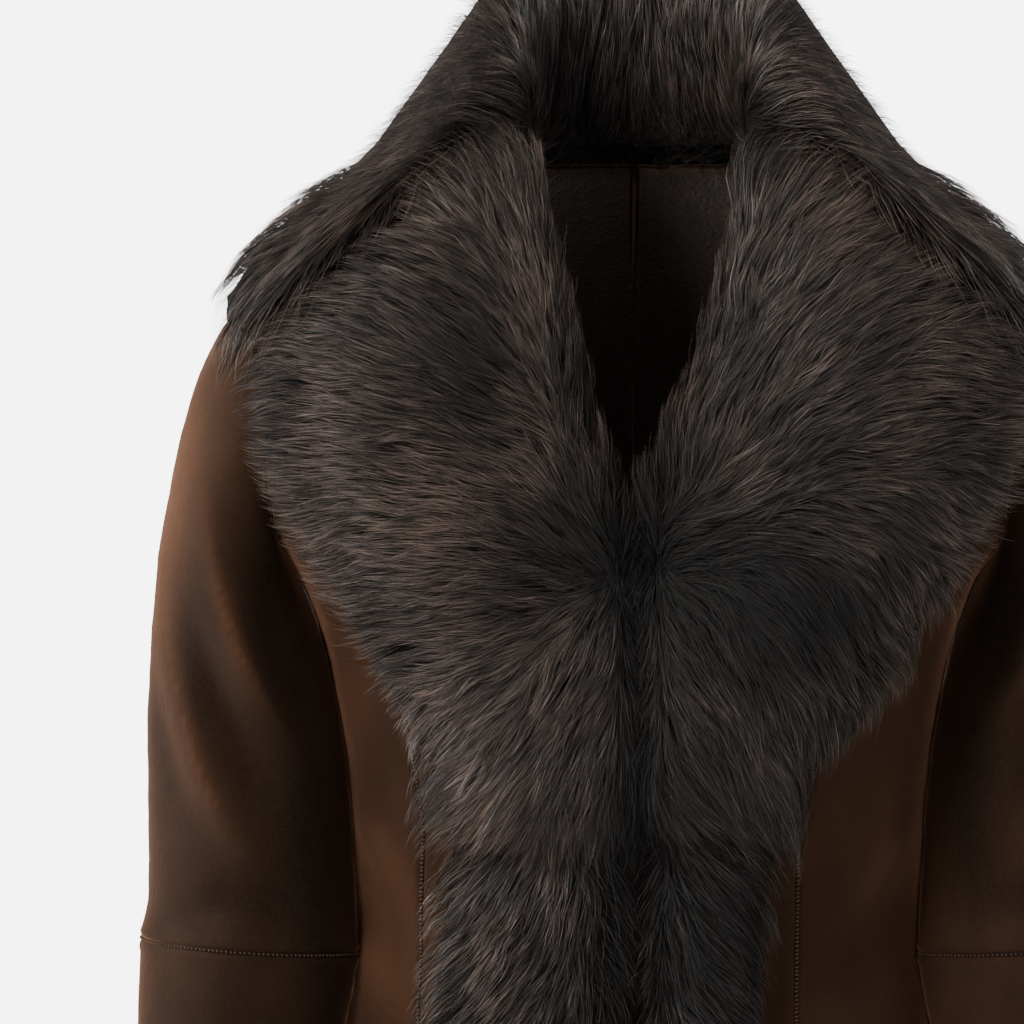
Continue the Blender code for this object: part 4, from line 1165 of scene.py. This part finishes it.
# %% Places on the hair side
def surface_samples(bm, hairy, count, rng):
    """Random places and normals on the hair side: fewer behind and low down, more where the
    bands go on."""
    bmesh.ops.triangulate(bm, faces=bm.faces)
    bm.faces.ensure_lookup_table()
    corners = np.array([[v.co[:] for v in f.verts] for f in bm.faces])
    turns = np.array([[v.normal[:] for v in f.verts] for f in bm.faces])
    middle = corners.mean(axis=1)
    face_turn = np.cross(corners[:, 1] - corners[:, 0], corners[:, 2] - corners[:, 0])
    area = np.linalg.norm(face_turn, axis=1)
    ahead = -face_turn[:, 1] / area
    weight = area * np.array(hairy) * (0.55 + 0.45 * ease(ahead * 1.4 + 0.4))
    weight *= 1 - 0.45 * ease((-0.45 - middle[:, 2]) / 0.05)
    weight *= 1 + 1.2 * ease(1 - np.abs(middle[:, 2] - JUNCTION_Z - 0.012) / 0.024)
    pick = rng.choice(len(area), count, p=weight / weight.sum())
    a = rng.random((count, 2))
    a = np.where(a.sum(axis=1, keepdims=True) > 1, 1 - a, a)
    share = np.stack((1 - a.sum(axis=1), a[:, 0], a[:, 1]), axis=1)[:, :, None]
    place = (corners[pick] * share).sum(axis=1)
    turn = (turns[pick] * share).sum(axis=1)
    return place, turn / np.linalg.norm(turn, axis=1, keepdims=True)


print("the bands go on at:", JUNCTION_Z)


# %% Locks and flow
LOCK = 18  # hairs in a lock
FLOW = {"right": FLOW_RIGHT, "left": FLOW_LEFT}


def waves(points, turns, seed):
    """Smooth noise of about -1 to 1 from a few crossing waves."""
    rng = np.random.default_rng(seed)
    total = np.zeros(len(points))
    for k in range(5):
        way = rng.normal(size=3)
        way *= turns * rng.uniform(0.7, 1.3) / np.linalg.norm(way)
        total += np.sin(2 * math.pi * points @ way + rng.uniform(0, 6.28))
    return total / 2.2


def scatter(node, count, rng):
    """Places on the hair side, their normals, how far each hangs, and the head of each one's lock."""
    bm = merged(node)
    place, turn = surface_samples(bm, hair_side(node, bm), count, rng)
    bm.free()
    place = trimmed(node, place)
    hang = np.zeros(count)
    if node == "collar":
        hang = ease((0.35 - turn[:, 2]) / 0.5) * ease((-0.02 - place[:, 1]) / 0.03) * (place[:, 2] < 0.03)
        place += (hang * rng.random(count))[:, None] * np.array((0, -0.014, -0.024))
    heads = rng.choice(count, count // LOCK, replace=False)
    tree = KDTree(len(heads))
    for head in heads:
        tree.insert(place[head], int(head))
    tree.balance()
    return place, turn, hang, np.array([tree.find(p)[1] for p in place])


def lay(node, place, turn, near, seed, rng):
    """The way each hair lies: the flow with some sway, laid along the surface."""
    flow = collar_flow(place) if node == "collar" else table_flow(FLOW[node.split("_")[1]], place)
    # broad and narrow waves first, then each lock, then each hair
    sway = 0.13 * waves(place, 20, seed) + 0.09 * waves(place, 55, seed + 1)
    sway += rng.normal(0, 0.11, len(place))[near] + rng.normal(0, 0.07, len(place))
    flow = unit(flow + np.cross(turn, flow) * sway[:, None])
    into = np.sum(flow * turn, axis=1, keepdims=True)
    return unit(flow - turn * into * np.where(into < 0, 1.0, 0.55))


print("hairs in a lock:", LOCK)

# %% Tips and roots
STRAY = 0.035  # share of the hairs that stand out of their lock


def set_tips(node, place, turn, hang, near, flow, seed, rng):
    """The tips: some rise or stray, locks draw together, and each piece's ends hang their way."""
    count = len(place)
    rise = 0.0015 * waves(place, 40, seed + 2) + rng.normal(0, 0.0010, count)[near]
    rise += rng.exponential(0.0008, count)
    stray = rng.random(count) < STRAY
    rise += np.where(stray, rng.uniform(0.001, 0.004, count), 0)
    tip = place + turn * rise[:, None] + flow * (rng.uniform(-0.004, 0.003, count))[:, None]
    pull = rng.uniform(0.05, 0.45, count) * ~stray
    tip += (tip[near] - tip) * pull[:, None]
    if node == "collar":
        drop = hang * rng.uniform(0.002, 0.014, count)
        return tip + (flow * 0.5 + np.array((0, -0.35, -0.70))) * drop[:, None]
    # beside the middle the hair of both sides reaches towards it
    centre = ease((0.022 - np.abs(tip[:, 0])) / 0.014) * (tip[:, 2] < V_Z + 0.02)
    tip[:, 0] -= np.sign(tip[:, 0]) * centre * rng.uniform(0.002, 0.008, count)
    if node.startswith("revers"):  # long ends that hide the junction with the band
        over = ease((JUNCTION_Z + 0.034 - place[:, 2]) / 0.030) * np.maximum(-flow[:, 2], 0) ** 2
        tip += flow * (over * rng.uniform(0.006, 0.042, count))[:, None]
        tip[:, 1] += 0.0040 * ease((JUNCTION_Z - tip[:, 2]) / 0.026)
        top = ease((place[:, 2] + 0.040) / 0.025) * rng.random(count)
        tip += (flow * 0.020 + np.array((0, -0.004, 0))) * top[:, None]
    else:
        tip[:, 1] -= 0.0015 * ease((place[:, 2] - JUNCTION_Z + 0.040) / 0.040)
    return tip


def grow(node, count, length, seed):
    """Roots, middles, tips, side directions and locks of all hairs of a piece."""
    rng = np.random.default_rng(seed)
    place, turn, hang, near = scatter(node, count, rng)
    flow = lay(node, place, turn, near, seed, rng)
    tip = set_tips(node, place, turn, hang, near, flow, seed, rng)
    lean = length * rng.uniform(0.7, 1.15, count)
    # revers and band of one side flow as one, so their hairs are rooted in the wool of both
    where = node.split("_")[1:]
    wool_tree = search_tree([core for name, core in CORES.items() if name.split("_")[1:] == where])
    start = place - flow * lean[:, None] - turn * WOOL_DEPTH
    root = np.array([wool_tree.find_nearest(p)[0][:] for p in start])
    away = tip - root
    height = np.sum(away * turn, axis=1, keepdims=True)
    middle = root + turn * height * 0.9 + (away - turn * height) * 0.40
    roll = unit(turn + rng.normal(0, 0.50, (count, 3)))
    side = unit(np.cross(unit(away), roll))
    return root, middle, tip, side, near, rng


print("stray hairs:", STRAY)

# %% Ribbons
RINGS = np.array((0.0, 0.36, 0.72))  # places along a hair that have two points
RING_WIDTH = np.array((1.0, 0.95, 0.62))
HAIR_WIDTH = 0.00030


def ribbons(name, root, middle, tip, side, shade, width):
    """Join all hairs into one mesh of ribbons: two quads and a pointed end each."""
    count = len(root)
    t = RINGS[None, :, None]
    line = (1 - t) ** 2 * root[:, None] + 2 * t * (1 - t) * middle[:, None] + t**2 * tip[:, None]
    half = side[:, None] * (width[:, None] * RING_WIDTH / 2)[:, :, None]
    pairs = np.stack((line - half, line + half), axis=2).reshape(count, 6, 3)
    shapes = np.concatenate((pairs, tip[:, None]), axis=1)
    corners = np.array((0, 1, 3, 2, 2, 3, 5, 4, 4, 5, 6))
    obj = joined(name, shapes, corners, np.array((0, 4, 8)), hair)
    tone = obj.data.attributes.new("tone", "FLOAT", "POINT")
    tone.data.foreach_set("value", np.clip(shade, 0, 1).astype(np.float32).ravel())


print("points of a hair:", 2 * len(RINGS) + 1)

# %% Tones of the hair, with painted shade and light
TONE = np.array((0.0, 0.0, 0.30, 0.30, 0.60, 0.60, 0.92))  # root to tip, two sides of each ring
# painted shade and light on the hair: spots that darken it where it lies in shade, as in the valley between
# the revers, and lighten it where light falls
PAINTED_FUR_LIGHT_SPOTS = (
    (0.008, -0.205, 0.050, 0.040, -0.75), (-0.002, -0.300, 0.012, 0.120, -0.40),
    (0.030, -0.345, 0.050, 0.060, -0.35), (0.030, -0.430, 0.045, 0.080, -0.50),
    (0.045, -0.700, 0.060, 0.200, -0.25), (0.080, -0.235, 0.045, 0.040, -0.62),
    (-0.130, -0.200, 0.050, 0.060, 0.12), (-0.102, -0.094, 0.035, 0.040, -0.26),
    (-0.108, -0.232, 0.035, 0.035, -0.16), (0.074, -0.104, 0.050, 0.050, -0.18),
    (-0.070, -0.310, 0.040, 0.030, 0.06), (-0.053, -0.375, 0.040, 0.045, -0.12),
    (-0.036, -0.130, 0.016, 0.070, -0.25),
)


def comb(node, parts, count, length, seed):
    """Grow a piece's hair and join it into its parts."""
    root, middle, tip, side, near, rng = grow(node, count, length, seed)
    lock_tone_and_painted_light = rng.normal(0, 0.07, len(root))[near] + rng.normal(0, 0.19, len(root))
    # painted shade and light from the spots, on top of the random tone of locks and hairs
    lock_tone_and_painted_light += 0.11 * waves(tip, 16, seed + 5) + spot_sum(PAINTED_FUR_LIGHT_SPOTS, tip)
    shade = TONE + lock_tone_and_painted_light[:, None] * (0.3 + TONE)
    width = HAIR_WIDTH * rng.uniform(0.7, 1.3, len(root))
    made = 0
    for name, chosen in parts(tip):
        ribbons(name, root[chosen], middle[chosen], tip[chosen], side[chosen], shade[chosen], width[chosen])
        made += int(chosen.sum())
    print(node, "hairs:", made)


print("spots of tone:", len(PAINTED_FUR_LIGHT_SPOTS))


# %% [markdown]
# ## Piece by piece
# The revers are seen most and get most hair for their size; the collar is largest.  Its hair is
# made in two meshes, so that no mesh grows too heavy to handle.

# %% Grow every piece
def whole(node):
    """A piece whose hair is one mesh."""
    return lambda tip: [(node + "_hair", np.ones(len(tip), bool))]


def halves(tip):
    """The collar's hair in two meshes."""
    return [("collar_hair_right", tip[:, 0] < 0), ("collar_hair_left", tip[:, 0] >= 0)]


HAIRS = (  # node, meshes, number of hairs, their length, seed
    ("revers_right", whole("revers_right"), 38000, 0.030, 11),
    ("revers_left", whole("revers_left"), 34000, 0.030, 12),
    ("band_right", whole("band_right"), 15000, 0.027, 13),
    ("band_left", whole("band_left"), 9500, 0.024, 14),
    ("collar", halves, 52000, 0.032, 15),
)
for row in HAIRS:
    comb(*row)

# %% [markdown]
# ## The cut
# A pattern maker would want the flat size of every hide: its width, its length and its area,
# since none is a rectangle.  Each shell prints these as it is made, a sleeve opened along its seam.

# %% [markdown]
# ## Camera and light
# A long lens looks almost straight on, against white.  The strongest light stands far out on the
# wearer's right and a little behind, so it grazes the sleeve; the front is dim, and the backdrop
# is brightest right behind the coat.

# %% Stage
TARGET = Vector((-0.065, 0.0, -0.183))
FAR = 3.5
FLOOR_Z = -1.42
camera = bpy.data.objects.new("camera", bpy.data.cameras.new("camera"))
bpy.context.scene.collection.objects.link(camera)
camera.data.lens = 236.8
camera.data.sensor_width = 36.0
rise = math.radians(1.0)
camera.location = TARGET + FAR * Vector((0, -math.cos(rise), math.sin(rise)))
camera.rotation_euler = (math.radians(90) - rise, 0, 0)
bpy.context.scene.camera = camera


def area_light(name, place, size, power, color):
    """A square soft light that looks at the coat."""
    lamp = bpy.data.lights.new(name, "AREA")
    lamp.size = size
    lamp.energy = power
    lamp.color = color
    obj = bpy.data.objects.new(name, lamp)
    bpy.context.scene.collection.objects.link(obj)
    obj.location = place
    obj.rotation_euler = (TARGET - Vector(place)).to_track_quat("-Z", "Y").to_euler()


LIGHTS = (
    ("key", (-1.7, -2.3, 1.3), 1.0, 120, (1.0, 0.98, 0.95)),
    ("fill", (1.6, -2.6, 1.0), 1.6, 26, (0.98, 0.98, 1.0)),
    ("edge_right", (-2.4, 0.3, 0.5), 1.2, 130, (1.0, 0.97, 0.94)),
    ("edge_left", (2.1, 1.0, 1.0), 1.0, 60, (1.0, 0.97, 0.94)),
)
for row in LIGHTS:
    area_light(*row)

world = bpy.data.worlds.new("studio")
bpy.context.scene.world = world
world.use_nodes = True
sky = Sock(world.node_tree)
way = sky.node("TexCoord", out="Generated")
behind = sky.node("VectorMath", {"operation": "DOT_PRODUCT"}, {0: way, 1: (0.0, 1.0, 0.0)}, out=1)
glow = sky.node("MapRange", {"interpolation_type": "SMOOTHSTEP"}, {
    "Value": behind, "From Min": 0.94, "From Max": 0.985, "To Min": 0.40, "To Max": 6.5})
backdrop = world.node_tree.nodes["Background"]
backdrop.inputs["Color"].default_value = (1.0, 1.0, 1.0, 1)
world.node_tree.links.new(glow.out, backdrop.inputs["Strength"])

bm = bmesh.new()
bmesh.ops.create_grid(bm, x_segments=1, y_segments=1, size=4.0)
bmesh.ops.translate(bm, verts=bm.verts, vec=(0, 0, FLOOR_Z))
mesh = bpy.data.meshes.new("floor")
bm.to_mesh(mesh)
bm.free()
floor = bpy.data.objects.new("floor", mesh)
bpy.context.scene.collection.objects.link(floor)
pale, tool, shader = new_material("floor", {"Roughness": 0.9})
tone = tool.mix(tool.noise(1.5, 2.0), (0.86, 0.86, 0.86, 1), (0.90, 0.90, 0.90, 1))
plug(tool, shader, {"Base Color": tone})
mesh.materials.append(pale)
print("camera at", [round(v, 2) for v in camera.location])
